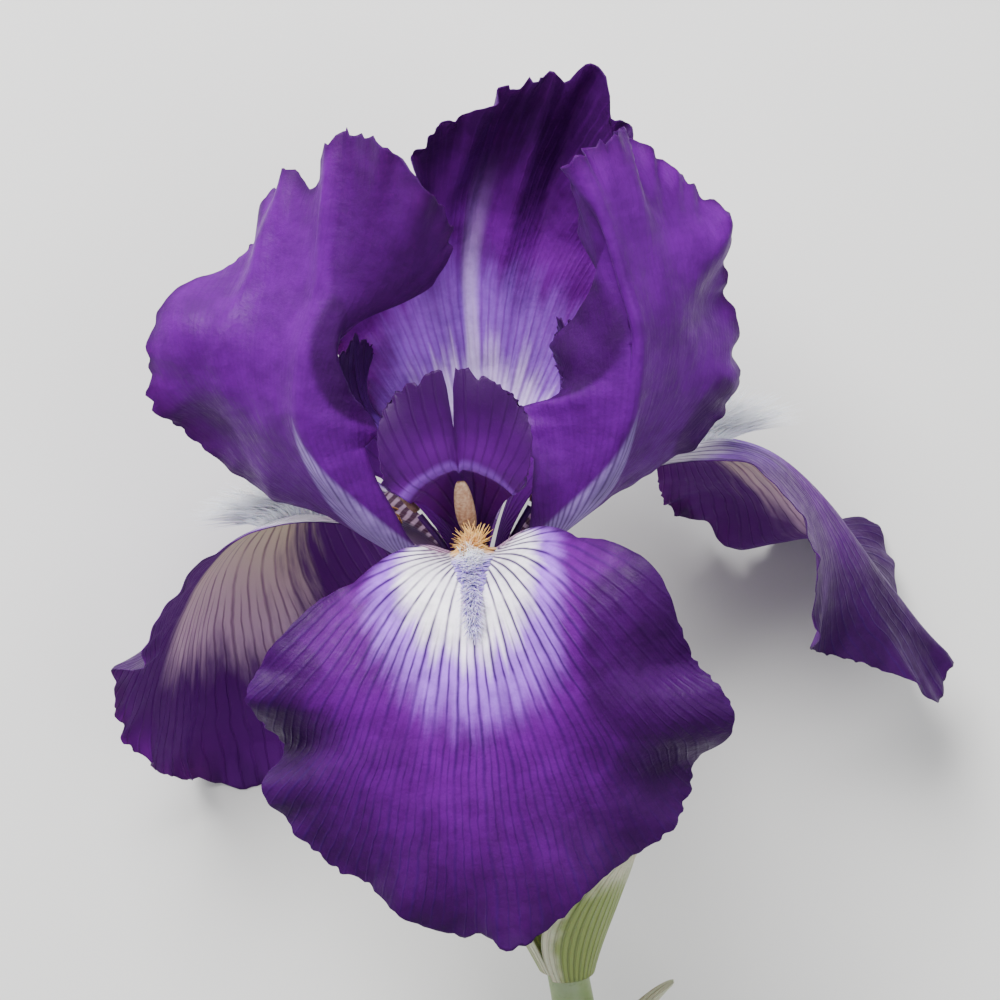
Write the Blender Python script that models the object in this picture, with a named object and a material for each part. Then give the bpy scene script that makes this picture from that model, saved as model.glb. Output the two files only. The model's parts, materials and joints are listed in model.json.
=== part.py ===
"""A bearded iris flower, picked with a length of its stem and laid on its back.

Everything is shaped in the flower's own frame, in millimetres: the origin is the throat, where the
petals leave the tube, +Z runs up the flower's axis and -Y is the front, where one fall faces.
lay_down() then turns the whole flower on to its back, where it rests on its two rear falls and on the
cut end of its stem.
"""
import math
from dataclasses import dataclass, field, replace

import bmesh
import bpy
import numpy as np
from mathutils import Matrix, Vector

MM = 0.001
GAP = 0.35  # between pieces that grow out of one another
FALL_THICKNESS = 0.5
STANDARD_THICKNESS = 0.42
STYLE_THICKNESS = 0.6
SPATHE_THICKNESS = 0.6

# How many cells each kind of sheet has along and across, and how many sides and rings a round piece.
PETAL_GRID = (17, 14)
STYLE_GRID = (12, 10)
BEARD_GRID = (14, 6)
SPATHE_GRID = (8, 10)
STALK_SIDES = 16
ROD_SIDES = 8

# How every petal is worked out.
SPINE_STEPS = 240  # steps that a midrib is measured over
FRAME_STEPS = 45  # of those, how many each way the directions across the petal are evened over
SECTION_STEPS = 12  # steps that a petal's cross-section is summed over
TIP_TURN = 48  # degrees round the outline from its tip to where the sides of the grid end
CLAW_WAIST = 0.18  # how far a claw's sides draw in, as a share of how much it widens
CLEFT_REACH = 0.3  # half the width of a cleft, as a share of the petal's
RIB_REACH = 0.12  # how far beside the midrib the section takes up its tilt, as a share of the width
LIP_PLACE, LIP_REACH = 0.62, 0.07  # where the stigma's lip crosses a style arm, along its length

# Each material's colour and roughness.
FINISHES = {
    "violet_petal": ((0.16, 0.012, 0.36), 0.5),
    "style_violet": ((0.20, 0.05, 0.42), 0.5),
    "beard": ((0.72, 0.62, 0.74), 0.9),
    "filament": ((0.76, 0.72, 0.78), 0.5),
    "anther": ((0.60, 0.42, 0.24), 0.8),
    "tube_green": ((0.30, 0.40, 0.16), 0.45),
    "stem_green": ((0.20, 0.32, 0.08), 0.45),
    "spathe_green": ((0.36, 0.46, 0.18), 0.5),
    "dry_bract": ((0.60, 0.48, 0.32), 0.8),
}

@dataclass
class Petal:
    """A petal's shape. Lengths are in mm and angles in degrees; left and right are a viewer's who faces
    the petal's outer end. Lists are evenly spaced stations from its foot to its tip.
    """

    azimuth: float  # 0 at the front, growing towards the viewer's right
    spine: list  # (out, aside, up): the midrib, away from the axis, towards the right and up
    foot: float  # half the width at its foot
    centre: float  # where the blade is widest, as a share of the length
    left: float  # half widths of the blade
    right: float
    shoulders: tuple  # how far its left and right lobes reach back from its widest place
    spread: float  # how far round its outline the margin runs each way from the tip
    left_turn: list  # (tilt, curl): the slope beside the midrib, and what the margin adds to it
    right_turn: list
    roll: list = field(default_factory=lambda: [0, 0])  # turn about the midrib
    thickness: float = FALL_THICKNESS
    ruffles: list = field(default_factory=list)  # (height, waves in a turn of the margin, phase)
    pushes: list = field(default_factory=list)  # (along, across, reach along, reach across, height)
    notch: float = 0.0  # depth of the cleft at the tip
    lip: float = 0.0  # height of the ridge across its outer face


@dataclass
class Bract:
    """A bract that clasps the stalk. Lengths are in mm and angles in degrees."""

    azimuth: float  # of its middle
    foot: float  # heights of its foot and its tip
    tip: float
    lean: float  # how far its tip leans out
    wrap: float  # how far round the stalk it reaches each way at its foot
    foot_radius: float
    radius: float


FALLS = {
    "front": Petal(
        azimuth=-2,
        spine=[(5.2, 0, 1.3), (11, 0, 6), (20, 0, 8.5), (29, 0, 8), (37, 0, 4), (42.5, 0, -4),
               (45, 0, -15), (46, 0, -28), (45, 0, -41)],
        foot=3.2,
        centre=0.6,
        left=34,
        right=36,
        shoulders=(24, 24),
        spread=150,
        left_turn=[(30, 0), (24, 0), (14, -5), (2, -20), (-4, -32), (-8, -30), (-6, -15)],
        right_turn=[(35, 0), (32, 0), (28, -5), (14, -24), (0, -34), (-8, -25), (-6, -10)],
        ruffles=[(1.6, 5, 40), (0.8, 9, 10)],
        pushes=[(0.45, 0.6, 0.16, 0.3, 3.0)],
    ),
    "right": Petal(
        azimuth=115,
        spine=[(5.2, 0, 1.3), (14, 0, 7), (24, 0, 11), (34, 0, 12.5), (43, 0, 12), (52, 0, 7.5),
               (61, 0, -2.5), (70, 0, -17), (79, 0, -32)],
        foot=3.2,
        centre=0.6,
        left=25,
        right=30,
        shoulders=(24, 26),
        spread=150,
        left_turn=[(25, 0), (15, 0), (0, -5), (-18, -15), (-28, -20), (-25, -10), (-20, 0)],
        right_turn=[(25, 0), (15, 0), (-5, -10), (-28, -15), (-36, -15), (-25, -10), (-10, 0)],
        roll=[0, 0, 0, 0, 8, 22, 34, 40],
        ruffles=[(1.8, 5, 200), (0.8, 9, 60)],
    ),
    "left": Petal(
        azimuth=-118,
        spine=[(5.2, 0, 1.3), (12, 0, 5), (21, 0, 7.5), (30, 0, 7.5), (39, 0, 4), (46, 0, -3),
               (50, 0, -13), (52, 0, -25), (52, 0, -37)],
        foot=3.2,
        centre=0.6,
        left=38,
        right=26,
        shoulders=(24, 24),
        spread=150,
        left_turn=[(25, 0), (15, 0), (0, -10), (-30, -15), (-45, -15), (-42, -10), (-30, 0)],
        right_turn=[(25, 0), (15, 0), (5, -5), (-5, -5), (-4, 0), (0, 5), (4, 5)],
        ruffles=[(1.6, 5, 120), (0.8, 9, 150)],
    ),
}
STANDARDS = {
    "back": Petal(
        azimuth=180,
        spine=[(3.6, 0, 1.2), (8.5, -1, 8), (13, -2.2, 18), (16.5, -3.2, 29), (18.5, -4.2, 41),
               (18, -7, 52), (15, -11, 63), (10, -15, 73)],
        foot=1.3,
        centre=0.6,
        left=28,
        right=19,
        shoulders=(22, 22),
        spread=160,
        left_turn=[(15, 0), (10, 0), (0, 5), (0, 20), (4, 20), (8, 0)],
        right_turn=[(15, 0), (10, 0), (0, 5), (4, 30), (15, 40), (30, 40)],
        ruffles=[(1.6, 6, 20), (0.8, 11, 50)],
        thickness=STANDARD_THICKNESS,
    ),
    "left": Petal(
        azimuth=-62,
        spine=[(3.6, 0, 1.2), (9, 0, 3), (16, 0, 8), (23, 0, 17), (28, 0, 28), (27, 0, 39),
               (22, 0, 49), (19, 0, 60), (18, 0, 71)],
        foot=1.3,
        centre=0.54,
        left=25,
        right=26,
        shoulders=(27, 14),
        spread=160,
        left_turn=[(10, 0), (0, 0), (-15, -10), (-26, -10), (-26, 5), (-8, 10), (35, 10)],
        right_turn=[(20, 0), (35, 10), (70, 20), (75, 30), (60, 40), (50, 35), (45, 20)],
        ruffles=[(1.6, 6, 100), (0.8, 11, 0)],
        thickness=STANDARD_THICKNESS,
    ),
    "right": Petal(
        azimuth=62,
        spine=[(3.6, 0, 1.2), (9, 0, 3.5), (16, 0, 8.5), (23, 0, 16), (28, 0, 26), (30, 0, 37),
               (28, 0, 47), (26, 0, 56), (23, 0, 65)],
        foot=1.3,
        centre=0.54,
        left=24,
        right=26,
        shoulders=(20, 25),
        spread=160,
        left_turn=[(20, 0), (35, 10), (75, 10), (80, 20), (105, 30), (120, 30), (125, 30)],
        right_turn=[(10, 0), (0, 0), (-10, 0), (-15, 10), (-15, 15), (-12, 15), (-10, 10)],
        ruffles=[(1.6, 6, 260), (0.8, 11, 90)],
        thickness=STANDARD_THICKNESS,
    ),
}
ARM = Petal(
    azimuth=0,
    spine=[(2.4, 0, 1.2), (4.8, 0, 8), (8.4, 0, 15), (12.8, 0, 20.5), (16.5, 0, 25), (17.8, 0, 31),
           (16.8, 0, 38.5)],
    foot=1.4,
    centre=0.64,
    left=12,
    right=12,
    shoulders=(8, 8),
    spread=120,
    left_turn=[(-20, 0), (-25, 0), (-25, -10), (-20, -30), (-10, -30), (0, 0), (10, 10)],
    right_turn=[(-20, 0), (-25, 0), (-25, -10), (-20, -30), (-10, -30), (0, 0), (10, 10)],
    ruffles=[(0.8, 6, 30)],
    thickness=STYLE_THICKNESS,
    notch=9.0,
    lip=2.0,
)
ARMS = {
    "front": replace(ARM, azimuth=-6),
    "right": replace(ARM, azimuth=111, left=9, right=8.5),
    "left": replace(ARM, azimuth=-113, left=8.5, right=9),
}

# A beard stands on each fall's midrib.
BEARD_ALONG = (0.12, 0.42)  # where it starts and ends, along the fall
BEARD_WIDTHS = [2.2, 2.7, 2.6, 2.0, 1.2, 0.7]  # half widths from start to end
BEARD_HEIGHT = 2.4
BEARD_ENDS = 0.12  # share of a half wave that its height leaves off at each end
BEARD_BLUNT = 0.5  # power of that half wave: the lower, the blunter the ends
BEARD_CROWN = 0.8  # how much lower its edges are than its middle, as a share

# The stalk's middle line, from the throat down. The stem bends towards the viewer's right.
STALK = [(0, 0, 0), (1.6, 0, -25), (6.0, 0, -50), (8.8, 0, -75), (10.2, 0, -100), (10.4, 0, -125),
         (9.4, 0, -150), (7.6, 0, -175)]
TUBE = [(-22.0, 3.1), (-12.0, 3.3), (-5.0, 4.2), (0.0, 5.4)]  # (height, radius)
OVARY = [(-42.0, 2.9), (-38.0, 4.2), (-32.0, 4.8), (-26.0, 4.3), (-22.4, 3.0)]
STEM = [(-165.0, 4.1), (-144.0, 3.9), (-123.0, 3.7), (-102.0, 3.5), (-81.0, 3.3), (-63.0, 3.1),
        (-52.5, 2.3), (-42.4, 2.3)]
OVARY_RIBS, OVARY_RIB_DEPTH = 3, 0.06
COLUMN = [(0.4, 1.3), (2.5, 1.2), (4.5, 1.0)]

# A stamen, at the front: (out, up) from its foot to its tip, and where its anther begins.
FILAMENT = [(3.95, 1.5), (6.4, 5.2), (9.0, 8.6)]
FILAMENT_RADIUS = 0.5
ANTHER = [(9.3, 9.2), (12.0, 13.4), (14.6, 18.6)]
ANTHER_RADIUS = 1.0
ANTHER_FLAT = 1.5
ANTHER_ENDS = 0.03
ANTHER_BLUNT = 0.35

BRACT_TIP_TURN = 3  # degrees each way that a bract's tip still covers
BRACT_POINT = 2.2  # power that narrows it: the higher, the more sudden its tip
BRACT_FULL = 0.8  # how far up it has all of its radius, as a share of its length
SPATHES = {
    "spathe_outer": Bract(azimuth=52, foot=-66, tip=-43, lean=9, wrap=84, foot_radius=4.1, radius=8.8),
    "spathe_inner": Bract(azimuth=-126, foot=-65, tip=-36, lean=3, wrap=84, foot_radius=4.1, radius=8.4),
}
DRY_BRACT = Bract(azimuth=70, foot=-86, tip=-67, lean=10, wrap=70, foot_radius=4.3, radius=6.8)


def through(stations, where):
    """Values at where, from 0 to 1, on a smooth curve through evenly spaced stations."""
    values = np.asarray(stations, float)
    last = len(values) - 1
    place = np.clip(where, 0, 1) * last
    first = np.minimum(place.astype(int), last - 1)
    t = (place - first)[:, None]
    padded = np.vstack([2 * values[0] - values[1], values, 2 * values[-1] - values[-2]])
    a, b, c, d = (padded[first + k] for k in range(4))
    return 0.5 * (2 * b + (c - a) * t + (2 * a - 5 * b + 4 * c - d) * t**2 + (3 * b - a - 3 * c + d) * t**3)


def unit(vectors):
    """These vectors at length 1."""
    return vectors / np.linalg.norm(vectors, axis=-1, keepdims=True)


def margin_of(petal, length, side):
    """A petal's flat margin on one side, from its foot to where its tip begins: (aside, along)."""
    width = (petal.left, petal.right)[side]
    turns = np.radians(np.linspace(petal.spread, TIP_TURN, 60))
    reach = np.where(np.cos(turns) > 0, (1 - petal.centre) * length, petal.shoulders[side])
    blade = np.stack([width * np.sin(turns), petal.centre * length + reach * np.cos(turns)], axis=1)
    share = np.linspace(0, 1, 20)[:-1, None]
    claw = np.array([petal.foot, 0.0]) * (1 - share) + blade[0] * share
    claw[:, 0] -= CLAW_WAIST * (blade[0, 0] - petal.foot) * np.sin(math.pi * share[:, 0])
    line = np.vstack([claw, blade])
    walked = np.concatenate([[0], np.cumsum(np.linalg.norm(np.diff(line, axis=0), axis=1))])
    return walked / walked[-1], line


def flat_points(petal, length, along, across):
    """Where the points of a petal's grid lie on the flat petal: (aside, along), aside as a distance."""
    aside, run = np.zeros_like(along), length * along
    for side in (0, 1):
        here = (across < 0) == (side == 0)
        share, line = margin_of(petal, length, side)
        edge = [np.interp(along[here], share, line[:, k]) for k in (0, 1)]
        part = np.abs(across[here])
        aside[here] = edge[0] * part
        run[here] += (edge[1] - run[here]) * part**2
    run -= petal.notch * np.exp(-((across / CLEFT_REACH) ** 2)) * along**4
    return aside, run


def petal_points(petal, along, across):
    """Points on the petal's middle surface, in the flower's frame.

    along runs from 0 at the foot to 1 at the tip, and across from -1 to 1, left to right.
    """
    azimuth = math.radians(petal.azimuth)
    out = np.array([math.sin(azimuth), -math.cos(azimuth), 0.0])
    aside = np.array([math.cos(azimuth), math.sin(azimuth), 0.0])
    up = np.array([0.0, 0.0, 1.0])

    # The midrib, and the directions along and across the petal beside it.
    steps = np.linspace(0, 1, SPINE_STEPS)
    rail = through(petal.spine, steps) @ np.array([out, aside, up])
    walked = np.concatenate([[0], np.cumsum(np.linalg.norm(np.diff(rail, axis=0), axis=1))])
    length = walked[-1]
    slope = unit(np.gradient(rail, axis=0))
    wide = np.pad(slope, ((FRAME_STEPS, FRAME_STEPS), (0, 0)), mode="edge")
    total = np.cumsum(wide, axis=0)
    slope = unit(total[2 * FRAME_STEPS :] - total[: -2 * FRAME_STEPS])

    flat_aside, flat_along = flat_points(petal, length, along, across)
    share = flat_along / length
    middle = np.stack([np.interp(flat_along, walked, rail[:, k]) for k in range(3)], axis=1)
    ahead = unit(np.stack([np.interp(flat_along, walked, slope[:, k]) for k in range(3)], axis=1))
    across_to = unit(aside - (ahead @ aside)[:, None] * ahead)
    inner = np.cross(ahead, across_to)
    roll = np.radians(through(np.reshape(petal.roll, (-1, 1)), share))
    across_to, inner = (
        across_to * np.cos(roll) + inner * np.sin(roll),
        inner * np.cos(roll) - across_to * np.sin(roll),
    )

    # The cross-section: from the midrib outwards its slope grows from tilt by curl.
    side = np.where(across < 0, -1.0, 1.0)
    width = np.where(across < 0, petal.left, petal.right)
    left, right = through(petal.left_turn, share), through(petal.right_turn, share)
    tilt, curl = np.radians(np.where(across[:, None] < 0, left, right)).T
    part = np.linspace(0, 1, SECTION_STEPS + 1)
    reached = (flat_aside / width)[:, None] * part
    angle = tilt[:, None] * np.minimum(1, reached / RIB_REACH) + curl[:, None] * reached**1.5
    weight = np.full(SECTION_STEPS + 1, 1.0)
    weight[[0, -1]] = 0.5
    run = flat_aside * (np.cos(angle) @ weight) / SECTION_STEPS
    rise = flat_aside * (np.sin(angle) @ weight) / SECTION_STEPS
    end = angle[:, -1]
    normal = inner * np.cos(end)[:, None] - across_to * (side * np.sin(end))[:, None]
    points = middle + across_to * (side * run)[:, None] + inner * rise[:, None]

    # Ruffles grow from the blade's middle to its margin, and pushes move the surface in one place.
    ahead_by = flat_along - petal.centre * length
    shoulder = np.where(across < 0, petal.shoulders[0], petal.shoulders[1])
    reach = np.where(ahead_by > 0, (1 - petal.centre) * length, shoulder)
    turn = np.arctan2(side * flat_aside / width, ahead_by / reach)
    rim = np.hypot(flat_aside / width, ahead_by / reach)
    blade = np.clip((ahead_by + shoulder) / shoulder, 0, 1)
    lift = np.zeros_like(along)
    for height, waves, phase in petal.ruffles:
        lift += height * np.clip(rim, 0, 1) ** 3 * blade * np.sin(waves * turn + math.radians(phase))
    for at_along, at_across, reach_along, reach_across, height in petal.pushes:
        far = ((share - at_along) / reach_along) ** 2
        far = far + ((side * flat_aside / width - at_across) / reach_across) ** 2
        lift += height * np.exp(-far)
    return points + normal * lift[:, None], normal


def finished(name):
    """The material of this name."""
    made = bpy.data.materials.get(name)
    if made is None:
        colour, roughness = FINISHES[name]
        made = bpy.data.materials.new(name)
        made.use_nodes = True
        shader = made.node_tree.nodes["Principled BSDF"]
        shader.inputs["Base Color"].default_value = (*colour, 1.0)
        shader.inputs["Roughness"].default_value = roughness
        shader.inputs["Metallic"].default_value = 0.0
    return made


def mesh_object(name, points, faces, finish):
    """An object from points in mm, smooth, with its faces pointing out."""
    mesh = bpy.data.meshes.new(name)
    mesh.from_pydata([tuple(point) for point in np.asarray(points) * MM], [], faces)
    made = bmesh.new()
    made.from_mesh(mesh)
    bmesh.ops.recalc_face_normals(made, faces=made.faces)
    made.to_mesh(mesh)
    made.free()
    mesh.shade_smooth()
    mesh.materials.append(finished(finish))
    obj = bpy.data.objects.new(name, mesh)
    bpy.context.scene.collection.objects.link(obj)
    return obj


def shell_object(name, upper, lower, finish):
    """A closed body between two grids of points, both split into the same triangles."""
    rows, row = upper.shape[:2]
    count = rows * row
    top = []
    for i in range(rows - 1):
        for j in range(row - 1):
            a, b = i * row + j, i * row + j + 1
            c, d = b + row, a + row
            top += [(a, b, c), (a, c, d)]
    bottom = [tuple(count + k for k in reversed(face)) for face in top]
    rim = [i * row for i in range(rows)]
    rim += [(rows - 1) * row + j for j in range(1, row)]
    rim += [i * row + row - 1 for i in range(rows - 2, -1, -1)]
    rim += list(range(row - 2, 0, -1))
    sides = [(a, b, count + b, count + a) for a, b in zip(rim, rim[1:] + rim[:1])]
    points = np.vstack([upper.reshape(-1, 3), lower.reshape(-1, 3)])
    return mesh_object(name, points, top + bottom + sides, finish)


def sheet_object(name, points, outside, inside, finish):
    """A closed sheet round a grid of points, whose two faces lie this far from it along its normals."""
    normal = unit(np.cross(np.gradient(points, axis=0), np.gradient(points, axis=1)))
    return shell_object(name, points + normal * inside, points - normal * outside, finish)


def grid_of(rows, columns):
    """along, from 0 to 1, and across, from -1 to 1, at the points of a grid."""
    return np.meshgrid(np.linspace(0, 1, rows + 1), np.linspace(-1, 1, columns + 1), indexing="ij")


def petal_object(name, petal, grid, finish):
    """A petal as a sheet of its thickness."""
    along, across = grid_of(*grid)
    points, _ = petal_points(petal, along.ravel(), across.ravel())
    half = np.full_like(along, petal.thickness / 2)[..., None]
    lip = petal.lip * np.exp(-(((along - LIP_PLACE) / LIP_REACH) ** 2))[..., None]
    return sheet_object(name, points.reshape(*along.shape, 3), half + lip, half, finish)


def ringed_object(name, rings, finish):
    """A closed body through rings of points, with a flat cap at each end."""
    count = len(rings[0])
    faces = []
    for i in range(len(rings) - 1):
        for j in range(count):
            a, b = i * count + j, i * count + (j + 1) % count
            faces.append((a, b, b + count, a + count))
    last = (len(rings) - 1) * count
    faces.append(tuple(range(count)))
    faces.append(tuple(range(last, last + count)))
    return mesh_object(name, np.vstack(rings), faces, finish)


def stalk_at(heights):
    """The stalk's middle at these heights, which is the flower's axis above the throat."""
    fine = through(STALK, np.linspace(0, 1, 200))[::-1]
    return np.stack([np.interp(heights, fine[:, 2], fine[:, 0]), 0 * heights, heights], axis=1)


def around(azimuths):
    """The directions out from the axis at these azimuths, in radians."""
    return np.stack([np.sin(azimuths), -np.cos(azimuths), np.zeros_like(azimuths)], axis=-1)


def stalk_object(name, profile, steps, finish, ribs=0, depth=0.0):
    """A round body on the stalk's middle line, from a profile of (height, radius) from its foot up."""
    turns = np.linspace(0, 2 * math.pi, STALK_SIDES, endpoint=False)
    shape = through(profile, np.linspace(0, 1, steps))
    wave = 1 + depth * np.cos(ribs * turns)
    rings = [
        middle + (radius * wave)[:, None] * around(turns)
        for middle, radius in zip(stalk_at(shape[:, 0]), shape[:, 1])
    ]
    return ringed_object(name, rings, finish)


def rod_object(name, path, radii, azimuth, flat, finish):
    """A rod through (out, up) points, this many times as wide as it is deep."""
    turn = math.radians(azimuth)
    aside = np.array([math.cos(turn), math.sin(turn), 0.0])
    points = np.outer(path[:, 0], around(turn)) + np.outer(path[:, 1], [0.0, 0.0, 1.0])
    turns = np.linspace(0, 2 * math.pi, ROD_SIDES, endpoint=False)
    rings = []
    for point, ahead, radius in zip(points, unit(np.gradient(points, axis=0)), radii):
        wide = np.outer(np.cos(turns) * flat, aside)
        deep = np.outer(np.sin(turns), np.cross(ahead, aside))
        rings.append(point + radius * (wide + deep))
    return ringed_object(name, rings, finish)


def domed(places, ends, power):
    """A rise and fall from 0 to 1: a half wave, short of its ends, to a power."""
    return np.sin(math.pi * (ends + (1 - 2 * ends) * places)) ** power


def stamen_objects(side, azimuth):
    """A filament and the anther on its end."""
    places = np.linspace(0, 1, 6)
    thin = np.full(len(places), FILAMENT_RADIUS)
    rod_object(f"filament_{side}", through(FILAMENT, places), thin, azimuth, 1.0, "filament")
    places = np.linspace(0, 1, 9)
    swell = ANTHER_RADIUS * domed(places, ANTHER_ENDS, ANTHER_BLUNT)
    rod_object(f"anther_{side}", through(ANTHER, places), swell, azimuth, ANTHER_FLAT, "anther")


def beard_object(name, petal):
    """The strip of hairs on a fall's midrib, as one low ridge that follows the fall."""
    share, side = grid_of(*BEARD_GRID)
    along = BEARD_ALONG[0] + (BEARD_ALONG[1] - BEARD_ALONG[0]) * share.ravel()
    half = through(np.reshape(BEARD_WIDTHS, (-1, 1)), share.ravel()).ravel()
    edge, _ = flat_points(petal, 1.0, along, np.ones_like(along))
    points, normal = petal_points(petal, along, side.ravel() * half / edge)
    rise = BEARD_HEIGHT * (1 - BEARD_CROWN * side**2) * domed(share, BEARD_ENDS, BEARD_BLUNT)
    low = points + normal * (petal.thickness / 2 + GAP)
    high = low + normal * rise.reshape(-1, 1)
    shape = (*share.shape, 3)
    return shell_object(name, high.reshape(shape), low.reshape(shape), "beard")


def bract_object(name, bract, finish):
    """A pointed, boat-shaped bract that clasps the stalk at its foot."""
    share, side = grid_of(*SPATHE_GRID)
    height = bract.foot + (bract.tip - bract.foot) * share
    half = math.radians(bract.wrap) * np.sqrt(1 - share**BRACT_POINT)
    half = half + math.radians(BRACT_TIP_TURN)
    turn = math.radians(bract.azimuth)
    swell = np.sin(0.5 * math.pi * np.minimum(1, share / BRACT_FULL))
    radius = bract.foot_radius + (bract.radius - bract.foot_radius) * swell
    points = stalk_at(height.ravel()).reshape(*share.shape, 3)
    points = points + radius[..., None] * around(turn + side * half)
    points = points + (bract.lean * share**2)[..., None] * around(turn)
    thick = np.full_like(share, SPATHE_THICKNESS / 2)[..., None]
    return sheet_object(name, points, thick, thick, finish)


def mass_centre(objects):
    """The middle of the pieces' volume, in metres."""
    total, moment = 0.0, Vector()
    for obj in objects:
        made = bmesh.new()
        made.from_mesh(obj.data)
        bmesh.ops.triangulate(made, faces=made.faces)
        for face in made.faces:
            a, b, c = (vert.co for vert in face.verts)
            volume = a.dot(b.cross(c)) / 6
            total += volume
            moment += volume * (a + b + c) / 4
        made.free()
    return moment / total


def resting_normal(objects, centre):
    """The way down for a flower on its back: out of the face of its hull that it rests on."""
    hull = bmesh.new()
    for obj in objects:
        for vert in obj.data.vertices:
            hull.verts.new(vert.co)
    bmesh.ops.convex_hull(hull, input=hull.verts)
    down = Vector((0, -1, 0))
    for face in hull.faces:
        a, b, c = (vert.co for vert in face.verts)
        normal = (b - a).cross(c - a)
        over = [(q - p).cross(centre - p).dot(normal) > 0 for p, q in ((a, b), (b, c), (c, a))]
        if normal.dot(a - centre) < 0:
            normal.negate()
        if all(over) and normal.normalized().y > down.y:
            down = normal.normalized()
    hull.free()
    return down


def lay_down(objects):
    """Hangs the pieces on one empty, turned so that they rest on z = 0 with the flower's top at +Y."""
    up = -resting_normal(objects, mass_centre(objects))
    ahead = (Vector((0, 0, 1)) - up * up.z).normalized()
    turn = Matrix((ahead.cross(up), ahead, up)).to_4x4()
    turned = np.array([turn @ vert.co for obj in objects for vert in obj.data.vertices])
    low, high = turned.min(axis=0), turned.max(axis=0)
    middle = (low + high) / 2
    flower = bpy.data.objects.new("flower", None)
    bpy.context.scene.collection.objects.link(flower)
    flower.matrix_world = Matrix.Translation((-middle[0], -middle[1], -low[2])) @ turn
    for obj in objects:
        obj.parent = flower


def main():
    for obj in list(bpy.data.objects):
        bpy.data.objects.remove(obj)
    for side, fall in FALLS.items():
        petal_object(f"fall_{side}", fall, PETAL_GRID, "violet_petal")
        beard_object(f"beard_{side}", fall)
        stamen_objects(side, ARMS[side].azimuth)
        petal_object(f"style_arm_{side}", ARMS[side], STYLE_GRID, "style_violet")
    for side, standard in STANDARDS.items():
        petal_object(f"standard_{side}", standard, PETAL_GRID, "violet_petal")
    stalk_object("style_column", COLUMN, 4, "style_violet")
    stalk_object("perianth_tube", TUBE, 8, "tube_green")
    stalk_object("ovary", OVARY, 9, "tube_green", OVARY_RIBS, OVARY_RIB_DEPTH)
    stalk_object("stem", STEM, 24, "stem_green")
    for name, bract in SPATHES.items():
        bract_object(name, bract, "spathe_green")
    bract_object("dry_bract", DRY_BRACT, "dry_bract")
    lay_down(list(bpy.data.objects))


if __name__ == "__main__":
    main()
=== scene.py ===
"""The looks of a bearded iris flower, picked with its stem and laid on its back.

Pieces are shaped in the flower's own frame, in millimetres: the origin is the throat, +Z runs up the
flower's axis and -Y is its front. find_flower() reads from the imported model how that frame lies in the
row's, and every piece is then put there, in metres.
"""
import json
import math
from dataclasses import dataclass, replace

import bpy
import numpy as np
from bpy.props import FloatProperty, FloatVectorProperty, IntProperty, PointerProperty
from mathutils import Matrix, Vector

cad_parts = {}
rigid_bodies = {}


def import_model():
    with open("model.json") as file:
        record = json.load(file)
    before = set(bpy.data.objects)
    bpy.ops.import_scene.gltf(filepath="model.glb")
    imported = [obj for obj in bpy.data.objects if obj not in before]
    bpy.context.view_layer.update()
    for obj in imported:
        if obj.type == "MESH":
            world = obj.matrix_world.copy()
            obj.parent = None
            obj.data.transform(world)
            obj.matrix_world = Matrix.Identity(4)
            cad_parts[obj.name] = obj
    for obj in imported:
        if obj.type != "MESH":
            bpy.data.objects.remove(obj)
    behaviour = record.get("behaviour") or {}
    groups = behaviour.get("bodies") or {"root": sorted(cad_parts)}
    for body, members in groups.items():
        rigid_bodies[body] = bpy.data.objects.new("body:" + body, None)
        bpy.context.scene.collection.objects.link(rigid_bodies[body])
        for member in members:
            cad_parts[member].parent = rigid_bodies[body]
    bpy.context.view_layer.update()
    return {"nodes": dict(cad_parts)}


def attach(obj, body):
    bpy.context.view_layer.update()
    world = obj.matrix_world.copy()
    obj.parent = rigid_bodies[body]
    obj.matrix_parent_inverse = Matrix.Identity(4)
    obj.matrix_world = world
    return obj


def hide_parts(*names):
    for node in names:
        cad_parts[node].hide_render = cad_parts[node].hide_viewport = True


bl_info = {
    "name": "Bearded iris",
    "version": (1, 0, 0),
    "blender": (4, 5, 0),
    "location": "3D Viewport > Sidebar > Iris",
    "description": "Builds a bearded iris flower around its packed model",
    "category": "Add Mesh",
}

for leftover in list(bpy.data.objects):
    bpy.data.objects.remove(leftover)
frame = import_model()

MM = 0.001

# How a petal's surface is worked out.
SPINE_STEPS = 240  # steps that a midrib is measured over
FRAME_STEPS = 45  # of those, how many each way the directions across the petal are evened over
SECTION_STEPS = 24  # steps that a petal's cross-section is summed over
BLADE_STEPS, CLAW_STEPS = 60, 20  # steps along a margin, on the blade and on its claw
TIP_TURN = 48  # degrees round the outline from its tip to where the sides of the grid end
CLAW_WAIST = 0.18  # how far a claw's sides draw in, as a share of how much it widens
RIB_REACH = 0.12  # how far beside the midrib the section takes up its tilt
CLEFT_POWER, TEETH_POWER = 4, 14  # the higher, the closer to the margin they stay
SHADE_EDGE = (0.42, 0.56)  # the lower the second, the harder the edge of a painted shade
LIP_PLACE, LIP_REACH = 0.62, 0.07  # along a style arm
RIM_FROM = 0.55  # how far along the tip's margin starts to count
CAD_PETAL_GRID = (17, 14)
MOST_OFF = 0.3  # how far the petals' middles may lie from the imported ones, in mm

PETAL_GRID = (190, 84)  # steps along and across
STYLE_GRID = (90, 56)
BRACT_GRID = (60, 48)
PETAL_THINS, BRACT_THINS = 0.6, 0.5  # share of its thickness that a margin loses
STALK_SIDES = 64
ROD_SIDES = 16


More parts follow.
